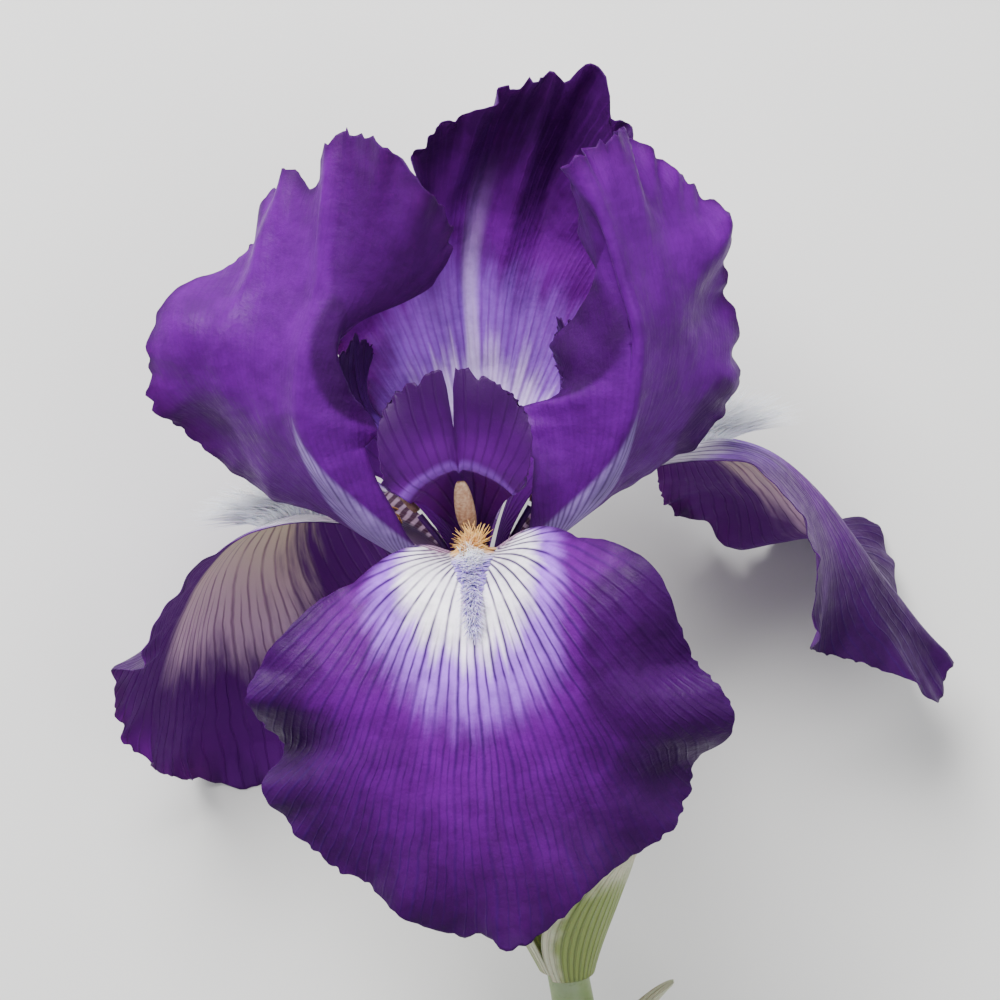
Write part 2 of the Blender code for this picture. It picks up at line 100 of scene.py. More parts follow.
@dataclass
class Petal:
    """A petal's shape. Lengths are in mm and angles in degrees; left and right are a viewer's who faces
    the petal's outer end. Lists are evenly spaced stations from its foot to its tip.
    """

    azimuth: float  # 0 at the front, growing towards the viewer's right
    spine: list  # (out, aside, up): the midrib, away from the axis, towards the right and up
    foot: float  # half the width at its foot
    centre: float  # where the blade is widest, as a share of the length
    left: float  # half widths of the blade
    right: float
    shoulders: tuple  # how far its left and right lobes reach back from its widest place
    spread: float  # how far round its outline the margin runs each way from the tip
    left_turn: list  # (tilt, curl): the slope beside the midrib, and what the margin adds to it
    right_turn: list
    roll: tuple = (0, 0)  # turn about the midrib
    ruffles: tuple = ()  # (height, waves in a turn of the margin, phase, power)
    pushes: tuple = ()  # (along, across, reach along, reach across, height)
    lip: float = 0.0  # height of the ridge across its outer face
    left_trim: tuple = (0, 0)  # share of its width that each margin loses
    right_trim: tuple = (0, 0)
    clefts: tuple = ()  # (across, reach, depth) of dips in the tip's outline
    rolls: tuple = ()  # (side, along, reach, from this share out, degrees)
    shades: tuple = ()  # (along, across, reach along, reach across, share) of painted shade: the deepest colour laid where folds and hollows lie in shade; under a fall it paints violet instead
    teeth: float = 0.0  # depth of the margin's teeth
    fan: float = 16.0  # how far from the foot the veins begin to spread


FALLS = {
    "front": Petal(
        azimuth=-2,
        spine=[(5.2, 0, 1.3), (11, 0, 6), (20, 0, 8.5), (29, 0, 8), (37, 0, 4), (42.5, 0, -4),
               (45, 0, -15), (46, 0, -28), (45, 0, -41)],
        foot=3.2, centre=0.6, left=34, right=36, shoulders=(24, 24), spread=150,
        left_turn=[(30, 0), (24, 0), (14, -5), (2, -20), (-4, -32), (-8, -30), (-6, -15)],
        right_turn=[(35, 0), (32, 0), (28, -5), (14, -24), (0, -34), (-8, -25), (-6, -10)],
        ruffles=[(1.6, 5, 40, 3), (0.8, 9, 10, 3)],
        pushes=[(0.45, 0.6, 0.16, 0.3, 3.0)],
    ),
    "right": Petal(
        azimuth=115,
        spine=[(5.2, 0, 1.3), (14, 0, 7), (24, 0, 11), (34, 0, 12.5), (43, 0, 12), (52, 0, 7.5),
               (61, 0, -2.5), (70, 0, -17), (79, 0, -32)],
        foot=3.2, centre=0.6, left=25, right=30, shoulders=(24, 26), spread=150,
        left_turn=[(25, 0), (15, 0), (0, -5), (-18, -15), (-28, -20), (-25, -10), (-20, 0)],
        right_turn=[(25, 0), (15, 0), (-5, -10), (-28, -15), (-36, -15), (-25, -10), (-10, 0)],
        roll=[0, 0, 0, 0, 8, 22, 34, 40],
        ruffles=[(1.8, 5, 200, 3), (0.8, 9, 60, 3)],
    ),
    "left": Petal(
        azimuth=-118,
        spine=[(5.2, 0, 1.3), (12, 0, 5), (21, 0, 7.5), (30, 0, 7.5), (39, 0, 4), (46, 0, -3),
               (50, 0, -13), (52, 0, -25), (52, 0, -37)],
        foot=3.2, centre=0.6, left=38, right=26, shoulders=(24, 24), spread=150,
        left_turn=[(25, 0), (15, 0), (0, -10), (-30, -15), (-45, -15), (-42, -10), (-30, 0)],
        right_turn=[(25, 0), (15, 0), (5, -5), (-5, -5), (-4, 0), (0, 5), (4, 5)],
        ruffles=[(1.6, 5, 120, 3), (0.8, 9, 150, 3)],
    ),
}
STANDARDS = {
    "back": Petal(
        azimuth=180,
        spine=[(3.6, 0, 1.2), (8.5, -1, 8), (13, -2.2, 18), (16.5, -3.2, 29), (18.5, -4.2, 41),
               (18, -7, 52), (15, -11, 63), (10, -15, 73)],
        foot=1.3, centre=0.6, left=28, right=19, shoulders=(22, 22), spread=160,
        left_turn=[(15, 0), (10, 0), (0, 5), (0, 20), (4, 20), (8, 0)],
        right_turn=[(15, 0), (10, 0), (0, 5), (4, 30), (15, 40), (30, 40)],
        ruffles=[(1.6, 6, 20, 3), (0.8, 11, 50, 3)],
    ),
    "left": Petal(
        azimuth=-62,
        spine=[(3.6, 0, 1.2), (9, 0, 3), (16, 0, 8), (23, 0, 17), (28, 0, 28), (27, 0, 39),
               (22, 0, 49), (19, 0, 60), (18, 0, 71)],
        foot=1.3, centre=0.54, left=25, right=26, shoulders=(27, 14), spread=160,
        left_turn=[(10, 0), (0, 0), (-15, -10), (-26, -10), (-26, 5), (-8, 10), (35, 10)],
        right_turn=[(20, 0), (35, 10), (70, 20), (75, 30), (60, 40), (50, 35), (45, 20)],
        ruffles=[(1.6, 6, 100, 3), (0.8, 11, 0, 3)],
    ),
    "right": Petal(
        azimuth=62,
        spine=[(3.6, 0, 1.2), (9, 0, 3.5), (16, 0, 8.5), (23, 0, 16), (28, 0, 26), (30, 0, 37),
               (28, 0, 47), (26, 0, 56), (23, 0, 65)],
        foot=1.3, centre=0.54, left=24, right=26, shoulders=(20, 25), spread=160,
        left_turn=[(20, 0), (35, 10), (75, 10), (80, 20), (105, 30), (120, 30), (125, 30)],
        right_turn=[(10, 0), (0, 0), (-10, 0), (-15, 10), (-15, 15), (-12, 15), (-10, 10)],
        ruffles=[(1.6, 6, 260, 3), (0.8, 11, 90, 3)],
    ),
}
ARM_TURN = [(-20, 0), (-25, 0), (-25, -10), (-20, -30), (-10, -30), (0, 0), (10, 10)]
ARM = Petal(
    azimuth=0,
    spine=[(2.4, 0, 1.2), (4.8, 0, 8), (8.4, 0, 15), (12.8, 0, 20.5), (16.5, 0, 25), (17.8, 0, 31),
           (16.8, 0, 38.5)],
    foot=1.4, centre=0.64, left=12, right=12, shoulders=(8, 8), spread=120,
    left_turn=ARM_TURN, right_turn=ARM_TURN,
    ruffles=[(0.8, 6, 30, 3)],
    clefts=[(0.0, 0.05, 9.0), (0.0, 2.0, 2.0), (-0.5, 0.06, 1.2), (0.45, 0.06, 1.2)],
    lip=2.0, teeth=0.5, fan=4.0,
)
ARMS = {
    "front": replace(ARM, azimuth=-6),
    "right": replace(ARM, azimuth=111, left=9, right=8.5),
    "left": replace(ARM, azimuth=-113, left=8.5, right=9),
}

# The finer waves that every margin has, in the form of Petal.ruffles.
FALL_WAVES = [(0.9, 14, 70, 5), (0.5, 23, 20, 7), (0.3, 41, 50, 10)]
STANDARD_WAVES = [(0.9, 16, 30, 5), (0.6, 27, 80, 7), (0.35, 47, 10, 10)]
# The falls' shades are painted shade on their upper faces; on the left fall's underside they paint violet.
FINE_FALLS = {
    "front": replace(
        FALLS["front"],
        left_trim=[0, 0, 0, 0, 0, 0.02, 0, 0.06, 0, 0, 0.06],
        right_trim=[0, 0, 0, 0, 0, 0, 0.1, 0.05, 0.06, 0.04, 0.1],
        clefts=[(-0.75, 0.3, 2.5), (0.62, 0.3, 4.5), (-0.1, 0.08, 1.5)],
        pushes=[(0.45, 0.6, 0.16, 0.3, 3.0), (0.52, 0.8, 0.05, 0.25, -3.5), (0.62, 1.0, 0.06, 0.3, 3.5),
                (0.72, 0.95, 0.05, 0.3, -3.0), (0.52, -0.95, 0.05, 0.3, 3.0), (0.63, -0.95, 0.05, 0.3, -3.0),
                (0.9, 0.4, 0.1, 0.16, 2.0), (0.92, -0.35, 0.1, 0.16, 2.0), (0.8, 0.06, 0.25, 0.05, -1.0)],
        shades=[(0.6, 0.8, 0.16, 0.35, 0.85), (0.8, 0.75, 0.15, 0.3, 0.5), (0.56, -0.95, 0.05, 0.25, 0.5)],
    ),
    "right": replace(
        FALLS["right"],
        left_trim=[0, 0, 0, 0, 0, 0, 0, 0.08, 0, 0.18, 0.3],
        clefts=[(-0.55, 0.35, -7.0), (0.0, 0.3, -2.0), (0.55, 0.22, 4.0)],
        pushes=[(0.6, 0.9, 0.06, 0.4, 3.5), (0.74, 0.9, 0.06, 0.4, -3.5), (0.87, 0.8, 0.06, 0.4, 3.5),
                (0.8, -0.8, 0.07, 0.4, -2.5)],
        shades=[(0.74, 0.8, 0.05, 0.4, 0.7), (1.0, 0.3, 0.06, 0.5, 0.5), (0.45, -1.0, 0.3, 0.95, 0.7)],
    ),
    "left": replace(
        FALLS["left"],
        right_trim=[0, 0, 0, 0, 0, -0.12, -0.25, -0.2, 0, 0, 0],
        clefts=[(-0.35, 0.3, -7.0), (-0.62, 0.12, -8.0)],
        shades=[(0.62, 0.95, 0.3, 0.75, 1.0)],
        pushes=[(0.7, -0.9, 0.06, 0.4, 2.5), (0.83, -0.9, 0.06, 0.4, -2.5), (0.95, 0.2, 0.06, 0.3, 2.0)],
    ),
}
# The standards' shades are painted shade in their folds, creases and rolled margins, and at the back
# standard's top.
FINE_STANDARDS = {
    "back": replace(
        STANDARDS["back"],
        shoulders=(29, 34),
        right_trim=[0, 0, 0, -0.3, -0.3, -0.3, -0.3, -0.2, 0, 0, 0],
        clefts=[(-0.22, 0.06, 4.0), (-0.42, 0.3, -3.5), (-0.6, 0.06, 2.5), (0.25, 0.1, 2.0),
                (0.75, 0.12, 3.0)],
        pushes=[(0.85, -0.1, 0.3, 0.05, 2.4), (0.85, -0.28, 0.25, 0.06, -2.6), (0.85, -0.5, 0.2, 0.08, 2.4),
                (0.7, 0.12, 0.4, 0.05, -1.2), (0.85, 0.4, 0.2, 0.1, 1.6)],
        shades=[(0.95, -0.28, 0.22, 0.08, 0.8), (1.0, 0.3, 0.12, 1.0, 0.6)],
    ),
    "left": replace(
        STANDARDS["left"],
        left_trim=[0, 0, 0, 0, 0, 0.04, 0, 0, 0.05, 0.25, 0.05],
        right_trim=[0, -1.0, -0.7, -0.2, 0, 0.3, 0.5, 0.68, 0.66, 0.2, 0],
        clefts=[(-0.36, 0.26, 8.0), (0.5, 0.2, -1.5)],
        rolls=[(1, 0.62, 0.16, 0.55, 70)],
        pushes=[(0.45, -0.75, 0.06, 0.3, 3.0), (0.6, -0.8, 0.07, 0.3, -3.0), (0.75, -0.5, 0.2, 0.08, -1.5),
                (0.85, 0.5, 0.1, 0.12, -1.6), (0.88, 0.0, 0.15, 0.06, -2.0)],
        shades=[(0.64, 1.0, 0.17, 0.95, 1.0), (1.0, 0.68, 0.36, 0.78, 0.75),
                (0.5, -0.9, 0.1, 0.25, 0.5)],
    ),
    "right": replace(
        STANDARDS["right"],
        left_trim=[0, -1.0, -0.8, -0.5, -0.36, 0.12, 0.42, 0.2, 0.5, 0.72, 0.4],
        right_trim=[0, 0, 0, 0, 0, 0, 0.06, -0.02, 0.02, -0.06, -0.05],
        clefts=[(0.7, 0.35, -5.0)],
        rolls=[(0, 0.5, 0.1, 0.5, 50)],
        pushes=[(0.5, 0.85, 0.05, 0.3, -3.0), (0.62, 0.85, 0.05, 0.3, 3.0), (0.74, 0.85, 0.05, 0.3, -2.5),
                (0.85, 0.3, 0.12, 0.1, -1.6), (0.72, -0.12, 0.2, 0.07, 2.2)],
        shades=[(0.68, -1.0, 0.17, 0.95, 1.0), (0.9, -1.0, 0.1, 0.8, 0.6), (0.5, 0.9, 0.1, 0.3, 0.7)],
    ),
}
for petals, waves, depth, fan in (
    (FINE_FALLS, FALL_WAVES, 0.5, 16.0),
    (FINE_STANDARDS, STANDARD_WAVES, 0.8, 6.0),
):
    for petal in petals.values():
        petal.ruffles = petal.ruffles + waves
        petal.teeth = depth
        petal.fan = fan

BEARD_ALONG = (0.12, 0.42)  # where it starts and ends, along the fall
BEARD_BLUES = {"front": 0.8, "right": -0.5, "left": -0.5}  # how far up its hairs the blue reaches
BEARD_LENGTHS = {"front": [0.9, 0.85, 0.6, 0.55, 0.6, 0.5], "right": [0.5, 0.5, 0.7, 1.1, 1.4, 1.5],
                 "left": [0.5, 0.5, 0.7, 1.1, 1.4, 1.5]}
BEARD_WIDTHS = [3.6, 4.0, 3.4, 2.4, 1.5, 0.9]
BEARD_WIDEST = 0.9  # as a share of the fall's half width
BEARD_CROWDING = 0.9  # below 1, its hairs stand closer at the outer end
HAIR_CORNERS, HAIR_JOINTS = 4, 5
HAIR_TAPER = 0.9
HAIR_SHORTEST = 0.7  # as a share of the longest beside it
HAIR_STRAY = 0.35  # how far a hair may lean from its neighbours
HAIR_LEAN = (0.1, 0.8)  # outwards along the fall, in the throat, and what the outer end adds
HAIR_BEND = (0.35, 0.3)  # the same, for how far it bends over
HAIR_SPREAD, HAIR_SPLAY = 1.7, 0.35  # how far the outer hairs lean and bend to their side

STALK = [(0, 0, 0), (1.6, 0, -25), (6.0, 0, -50), (8.8, 0, -75), (10.2, 0, -100), (10.4, 0, -125),
         (9.4, 0, -150), (7.6, 0, -175)]
TUBE = [(-22.0, 3.1), (-12.0, 3.3), (-5.0, 4.2), (0.0, 5.4)]  # (height, radius)
OVARY = [(-42.0, 2.9), (-38.0, 4.2), (-32.0, 4.8), (-26.0, 4.3), (-22.4, 3.0)]
STEM = [(-165.0, 4.1), (-144.0, 3.9), (-123.0, 3.7), (-102.0, 3.5), (-81.0, 3.3), (-63.0, 3.1),
        (-52.5, 2.3), (-42.4, 2.3)]
OVARY_RIBS, OVARY_RIB_DEPTH = 3, 0.06
COLUMN = [(0.4, 1.3), (2.5, 1.2), (4.5, 1.0)]

FILAMENT = [(3.95, 1.5), (6.4, 5.2), (9.0, 8.6)]  # (out, up)
FILAMENT_RADIUS = 0.5
ANTHER = [(9.3, 9.2), (12.0, 13.4), (14.6, 18.6)]
ANTHER_RADIUS = 1.0
ANTHER_FLAT = 1.5
ANTHER_GROOVE = 0.3
ANTHER_ENDS = 0.03  # share of a half wave that its swelling leaves off at each end
ANTHER_BLUNT = 0.35  # power of that half wave: the lower, the blunter the ends

BRACT_TIP_TURN = 3  # degrees each way that a bract's tip still covers
BRACT_POINT = 2.2  # power that narrows it: the higher, the more sudden its tip
BRACT_FULL = 0.8  # how far up it has all of its radius, as a share of its length
BRACT_RIBS, BRACT_RIB_DEPTH = 9, 0.18
# (azimuth of its middle, heights of its foot and its tip, how far the tip leans out, how far round the
# stalk it reaches each way at its foot, radius at its foot and where it is full).
BRACTS = {
    "spathe_outer": (52, -66, -43, 9, 84, 4.1, 8.8),
    "spathe_inner": (-126, -65, -36, 3, 84, 4.1, 8.4),
    "dry_bract": (70, -86, -67, 10, 70, 4.3, 6.8),
}

VIEW_MIDDLE = (0.0030, 0.0108)  # how far right of the throat and above it the camera points, in m
LIGHTS = {  # direction from the throat in the flower's frame, distance and size in m
    "key": ((-0.35, -0.9, 1.5), 0.9, 0.5),
    "fill": ((0.9, -1.2, 0.3), 0.9, 0.7),
}
SKY_COLOUR = (0.9, 0.94, 1.0, 1.0)


# ---------------- surfaces


def through(stations, where):
    """Values at where, from 0 to 1, on a smooth curve through evenly spaced stations."""
    values = np.asarray(stations, float)
    last = len(values) - 1
    place = np.clip(where, 0, 1) * last
    first = np.minimum(place.astype(int), last - 1)
    t = (place - first)[:, None]
    padded = np.vstack([2 * values[0] - values[1], values, 2 * values[-1] - values[-2]])
    a, b, c, d = (padded[first + k] for k in range(4))
    return 0.5 * (2 * b + (c - a) * t + (2 * a - 5 * b + 4 * c - d) * t**2 + (3 * b - a - 3 * c + d) * t**3)


def unit(vectors):
    """These vectors at length 1."""
    return vectors / np.linalg.norm(vectors, axis=-1, keepdims=True)


def eased(low, high, values):
    """0 at low and below, 1 at high and above, and a smooth step between."""
    share = np.clip((values - low) / (high - low), 0, 1)
    return share * share * (3 - 2 * share)


def bump_at(values, place, reach):
    """1 at place, falling off smoothly over reach."""
    return np.exp(-(((values - place) / reach) ** 2))


def walked_along(line):
    """How far along a line each of its points lies."""
    return np.concatenate([[0], np.cumsum(np.linalg.norm(np.diff(line, axis=0), axis=1))])


def points_along(line, walked, where):
    """The points of a line at these distances along it."""
    return np.stack([np.interp(where, walked, part) for part in line.T], axis=1)


def margin_of(petal, length, side):
    """A petal's flat margin on one side, from its foot to where its tip begins: (aside, along)."""
    width = (petal.left, petal.right)[side]
    turns = np.radians(np.linspace(petal.spread, TIP_TURN, BLADE_STEPS))
    reach = np.where(np.cos(turns) > 0, (1 - petal.centre) * length, petal.shoulders[side])
    blade = np.stack([width * np.sin(turns), petal.centre * length + reach * np.cos(turns)], axis=1)
    share = np.linspace(0, 1, CLAW_STEPS)[:-1, None]
    claw = np.array([petal.foot, 0.0]) * (1 - share) + blade[0] * share
    claw[:, 0] -= CLAW_WAIST * (blade[0, 0] - petal.foot) * np.sin(math.pi * share[:, 0])
    line = np.vstack([claw, blade])
    walked = walked_along(line)
    return walked / walked[-1], line


def flat_points(petal, length, along, across):
    """Where the points of a petal's grid lie on the flat petal: (aside, along), aside as a distance."""
    aside, run = np.zeros_like(along), length * along
    for side in (0, 1):
        here = (across < 0) == (side == 0)
        share, line = margin_of(petal, length, side)
        edge = points_along(line, share, along[here]).T
        trim = np.reshape((petal.left_trim, petal.right_trim)[side], (-1, 1))
        edge[0] = edge[0] * (1 - through(trim, along[here]).ravel())
        part = np.abs(across[here])
        aside[here] = edge[0] * part
        run[here] += (edge[1] - run[here]) * part**2
    for at, reach, depth in petal.clefts:
        run -= depth * bump_at(across, at, reach) * along**CLEFT_POWER
    return aside, run


def teeth_at(turn):
    """How far the teeth of a margin stand in or out at these turns round it, from -1 to 1."""
    slow = 0.6 + 0.4 * np.sin(7 * turn + 1.0)
    return slow * (0.55 * np.sin(71 * turn) + 0.3 * np.sin(113 * turn + 2.0) + 0.3 * np.sin(29 * turn))


def petal_surface(petal, along, across):
    """A petal's middle surface in the flower's frame: its points, normals and what its finish needs.

    along runs from 0 at the foot to 1 at the tip, and across from -1 to 1, left to right.
    """
    azimuth = math.radians(petal.azimuth)
    out = np.array([math.sin(azimuth), -math.cos(azimuth), 0.0])
    aside = np.array([math.cos(azimuth), math.sin(azimuth), 0.0])
    up = np.array([0.0, 0.0, 1.0])

    steps = np.linspace(0, 1, SPINE_STEPS)
    rail = through(petal.spine, steps) @ np.array([out, aside, up])
    walked = walked_along(rail)
    length = walked[-1]
    slope = unit(np.gradient(rail, axis=0))
    wide = np.pad(slope, ((FRAME_STEPS, FRAME_STEPS), (0, 0)), mode="edge")
    total = np.cumsum(wide, axis=0)
    slope = unit(total[2 * FRAME_STEPS :] - total[: -2 * FRAME_STEPS])

    flat_aside, flat_along = flat_points(petal, length, along, across)
    side = np.where(across < 0, -1.0, 1.0)
    width = np.where(across < 0, petal.left, petal.right)
    ahead_by = flat_along - petal.centre * length
    shoulder = np.where(across < 0, petal.shoulders[0], petal.shoulders[1])
    reach = np.where(ahead_by > 0, (1 - petal.centre) * length, shoulder)
    turn = np.arctan2(side * flat_aside / width, ahead_by / reach)
    rim = np.hypot(flat_aside / width, ahead_by / reach)
    blade = np.clip((ahead_by + shoulder) / shoulder, 0, 1)
    edge = np.maximum(np.abs(across), along) ** TEETH_POWER * blade
    grown = petal.teeth * teeth_at(turn) * edge
    flat_aside = np.maximum(flat_aside + grown * np.abs(np.sin(turn)), 0)
    flat_along = flat_along + grown * np.cos(turn)

    share = flat_along / length
    middle = points_along(rail, walked, flat_along)
    middle = middle + np.maximum(flat_along - length, 0)[:, None] * slope[-1]
    ahead = unit(points_along(slope, walked, flat_along))
    across_to = unit(aside - (ahead @ aside)[:, None] * ahead)
    inner = np.cross(ahead, across_to)
    roll = np.radians(through(np.reshape(petal.roll, (-1, 1)), share))
    across_to, inner = (
        across_to * np.cos(roll) + inner * np.sin(roll),
        inner * np.cos(roll) - across_to * np.sin(roll),
    )

    left, right = through(petal.left_turn, share), through(petal.right_turn, share)
    tilt, curl = np.radians(np.where(across[:, None] < 0, left, right)).T
    part = np.linspace(0, 1, SECTION_STEPS + 1)
    reached = (flat_aside / width)[:, None] * part
    angle = tilt[:, None] * np.minimum(1, reached / RIB_REACH) + curl[:, None] * reached**1.5
    for roll_side, at, roll_reach, start, degrees in petal.rolls:
        here = (side == (-1, 1)[roll_side]) * bump_at(share, at, roll_reach)
        local = np.abs(across)[:, None] * part
        angle = angle + math.radians(degrees) * here[:, None] * eased(start, 1.0, local)
    weight = np.full(SECTION_STEPS + 1, 1.0)
    weight[[0, -1]] = 0.5
    run = flat_aside * (np.cos(angle) @ weight) / SECTION_STEPS
    rise = flat_aside * (np.sin(angle) @ weight) / SECTION_STEPS
    end = angle[:, -1]
    normal = inner * np.cos(end)[:, None] - across_to * (side * np.sin(end))[:, None]
    points = middle + across_to * (side * run)[:, None] + inner * rise[:, None]

    lift = np.zeros_like(along)
    for height, waves, phase, power in petal.ruffles:
        wave = np.sin(waves * turn + math.radians(phase))
        lift += height * np.clip(rim, 0, 1) ** power * blade * wave
    for at_along, at_across, reach_along, reach_across, height in petal.pushes:
        far = ((share - at_along) / reach_along) ** 2
        far = far + ((side * flat_aside / width - at_across) / reach_across) ** 2
        lift += height * np.exp(-far)

    # Painted shade: how far each place takes the deepest colour, from the petal's shades.
    shade = np.zeros_like(along)
    for at_along, at_across, reach_along, reach_across, amount in petal.shades:
        far = ((along - at_along) / reach_along) ** 2 + ((across - at_across) / reach_across) ** 2
        shade = np.maximum(shade, amount * eased(*SHADE_EDGE, np.exp(-far)))

    # The veins run along the claw, and fan out from its end.
    past = np.maximum(flat_along - petal.fan, 0)
    waist = np.hypot(petal.foot, past)
    return {
        "points": points + normal * lift[:, None],
        "normal": normal,
        "fan": np.arctan2(side * flat_aside, waist),
        "reach": np.where(flat_along > petal.fan, np.hypot(flat_aside, past), flat_along - petal.fan),
        "rim": np.clip(np.maximum(np.abs(across), (along - RIM_FROM) / (1 - RIM_FROM)), 0, 1),
        "along": along,
        "aside": flat_aside,
        "shade": shade,
    }


def grid_of(rows, columns):
    """along, from 0 to 1, and across, from -1 to 1, at the points of a grid."""
    return np.meshgrid(np.linspace(0, 1, rows + 1), np.linspace(-1, 1, columns + 1), indexing="ij")


def fine_grid(grid):
    """The same, with the columns drawn together towards both margins."""
    along, across = grid_of(*grid)
    return along, across * (1.5 - 0.5 * across**2)


def stalk_at(heights):
    """The stalk's middle at these heights, which is the flower's axis above the throat."""
    fine = through(STALK, np.linspace(0, 1, 200))[::-1]
    return np.stack([np.interp(heights, fine[:, 2], fine[:, 0]), 0 * heights, heights], axis=1)


def around(azimuths):
    """The directions out from the axis at these azimuths, in radians."""
    return np.stack([np.sin(azimuths), -np.cos(azimuths), np.zeros_like(azimuths)], axis=-1)


# ---------------- the flower's place


def surface_middle(points, corners):
    """The middle of the area of these triangles."""
    a, b, c = (points[corners[:, k]] for k in range(3))
    area = np.linalg.norm(np.cross(b - a, c - a), axis=1)
    return area @ (a + b + c) / (3 * area.sum())


def grid_corners(rows, columns):
    """The triangles of a grid of rows by columns points."""
    i, j = np.meshgrid(np.arange(rows - 1), np.arange(columns - 1), indexing="ij")
    a = (i * columns + j).ravel()
    b, c, d = a + 1, a + columns + 1, a + columns
    return np.vstack([np.stack([a, b, c], axis=1), np.stack([a, c, d], axis=1)])


def find_flower():
    """The matrix from the flower's frame, in mm, to the row's, read from where the petals' middles lie."""
    along, across = grid_of(*CAD_PETAL_GRID)
    corners = grid_corners(*along.shape)
    shaped, packed = [], []
    for kind, petals in (("fall", FALLS), ("standard", STANDARDS)):
        for side, petal in petals.items():
            made = petal_surface(petal, along.ravel(), across.ravel())
            shaped.append(surface_middle(made["points"], corners) * MM)
            mesh = frame["nodes"][f"{kind}_{side}"].data
            mesh.calc_loop_triangles()
            points = np.array([vert.co for vert in mesh.vertices])
            packed.append(surface_middle(points, np.array([t.vertices for t in mesh.loop_triangles])))
    shaped, packed = np.array(shaped), np.array(packed)
    centre, place = shaped.mean(axis=0), packed.mean(axis=0)
    left, _, right = np.linalg.svd((shaped - centre).T @ (packed - place))
    flip = np.diag([1, 1, np.sign(np.linalg.det(left @ right))])
    turn = (left @ flip @ right).T
    off = np.abs((shaped - centre) @ turn.T + place - packed).max()
    if off > MOST_OFF * MM:
        raise ValueError(f"the petals lie {off / MM:.2f} mm from the packed ones")
    matrix = np.eye(4)
    matrix[:3, :3] = turn * MM
    matrix[:3, 3] = place - turn @ centre
    return matrix


FLOWER = find_flower()
FLOWER_TURN = Matrix(FLOWER[:3, :3].tolist()) * (1 / MM)
THROAT = Vector(FLOWER[:3, 3].tolist())


def placed(points):
    """Points from the flower's frame, in mm, put into the row's, in metres."""
    return points @ FLOWER[:3, :3].T + FLOWER[:3, 3]


# ---------------- meshes


def add_object(name, data):
    """A new object in the scene."""
    made = bpy.data.objects.new(name, data)
    bpy.context.scene.collection.objects.link(made)
    return made


def add_piece(name, points, faces, node, slot, materials, values, second=0):
    """A smooth mesh in the row's frame that stands for a CAD node. The first `second` faces take the
    second material.
    """
    mesh = bpy.data.meshes.new(name)
    mesh.from_pydata(points.tolist(), [], faces)
    mesh.shade_smooth()
    for material in materials:
        mesh.materials.append(material)
    if second:
        index = np.zeros(len(faces), np.int32)
        index[:second] = 1
        mesh.polygons.foreach_set("material_index", index)
    for key, value in values.items():
        attribute = mesh.attributes.new(key, "FLOAT", "POINT")
        attribute.data.foreach_set("value", np.asarray(value, np.float32))
    mesh.update()
    piece = add_object(name, mesh)
    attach(piece, "root")
    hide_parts(node)
    return piece


def add_sheet(name, points, inside, outside, values, **finish):
    """A closed sheet round a grid of points in the row's frame. Its inner face comes first."""
    points[..., 2] = np.maximum(points[..., 2], outside[..., 0] + inside[..., 0])
    normal = unit(np.cross(np.gradient(points, axis=0), np.gradient(points, axis=1)))
    rows, row = points.shape[:2]
    count = rows * row
    i, j = np.meshgrid(np.arange(rows - 1), np.arange(row - 1), indexing="ij")
    a = (i * row + j).ravel()
    top = np.stack([a, a + row, a + row + 1, a + 1], axis=1)
    bottom = top[:, ::-1] + count
    rim = [k * row for k in range(rows)]
    rim += [(rows - 1) * row + k for k in range(1, row)]
    rim += [k * row + row - 1 for k in range(rows - 2, -1, -1)]
    rim += list(range(row - 2, 0, -1))
    sides = [(a, count + a, count + b, b) for a, b in zip(rim, rim[1:] + rim[:1])]
    faces = top.tolist() + bottom.tolist() + sides
    both = np.vstack([
        (points + normal * inside).reshape(-1, 3),
        (points - normal * outside).reshape(-1, 3),
    ])
    values = {key: np.tile(np.ravel(value), 2) for key, value in values.items()}
    return add_piece(name, both, faces, values=values, second=len(top), **finish)


def add_petal(name, petal, grid, thickness, **finish):
    """A petal as a thin sheet that thins out towards its margin."""
    along, across = fine_grid(grid)
    made = petal_surface(petal, along.ravel(), across.ravel())
    points = placed(made["points"]).reshape(*along.shape, 3)
    half = 0.5 * thickness * MM * (1 - PETAL_THINS * made["rim"].reshape(along.shape) ** 4)
    lip = petal.lip * MM * bump_at(along, LIP_PLACE, LIP_REACH)
    values = {key: made[key] for key in ("fan", "reach", "rim", "along", "aside", "shade")}
    return add_sheet(name, points, half[..., None], (half + lip)[..., None], values, **finish)


def ring_faces(first, rings, count):
    """The faces of a closed body of rings of count points each, numbered from first."""
    faces = []
    for ring in range(first, first + (rings - 1) * count, count):
        for j in range(count):
            a, b = ring + j, ring + (j + 1) % count
            faces.append((a, a + count, b + count, b))
    last = first + (rings - 1) * count
    return faces + [tuple(range(first, first + count)), tuple(range(last + count - 1, last - 1, -1))]


def add_rings(name, rings, **finish):
    """A closed body through rings of points in the flower's frame, with a cap at each end."""
    along = np.repeat(np.linspace(0, 1, len(rings)), len(rings[0]))
    faces = ring_faces(0, len(rings), len(rings[0]))
    return add_piece(name, placed(np.vstack(rings)), faces, values={"along": along}, **finish)


def add_stalk(name, profile, steps, ribs=0, depth=0.0, **finish):
    """A round body on the stalk's middle line, from a profile of (height, radius) from its foot up."""
    turns = -np.linspace(0, 2 * math.pi, STALK_SIDES, endpoint=False)
    shape = through(profile, np.linspace(0, 1, steps))
    wave = 1 + depth * np.cos(ribs * turns)
    rings = [
        middle + (radius * wave)[:, None] * around(turns)
        for middle, radius in zip(stalk_at(shape[:, 0]), shape[:, 1])
    ]
    return add_rings(name, rings, **finish)


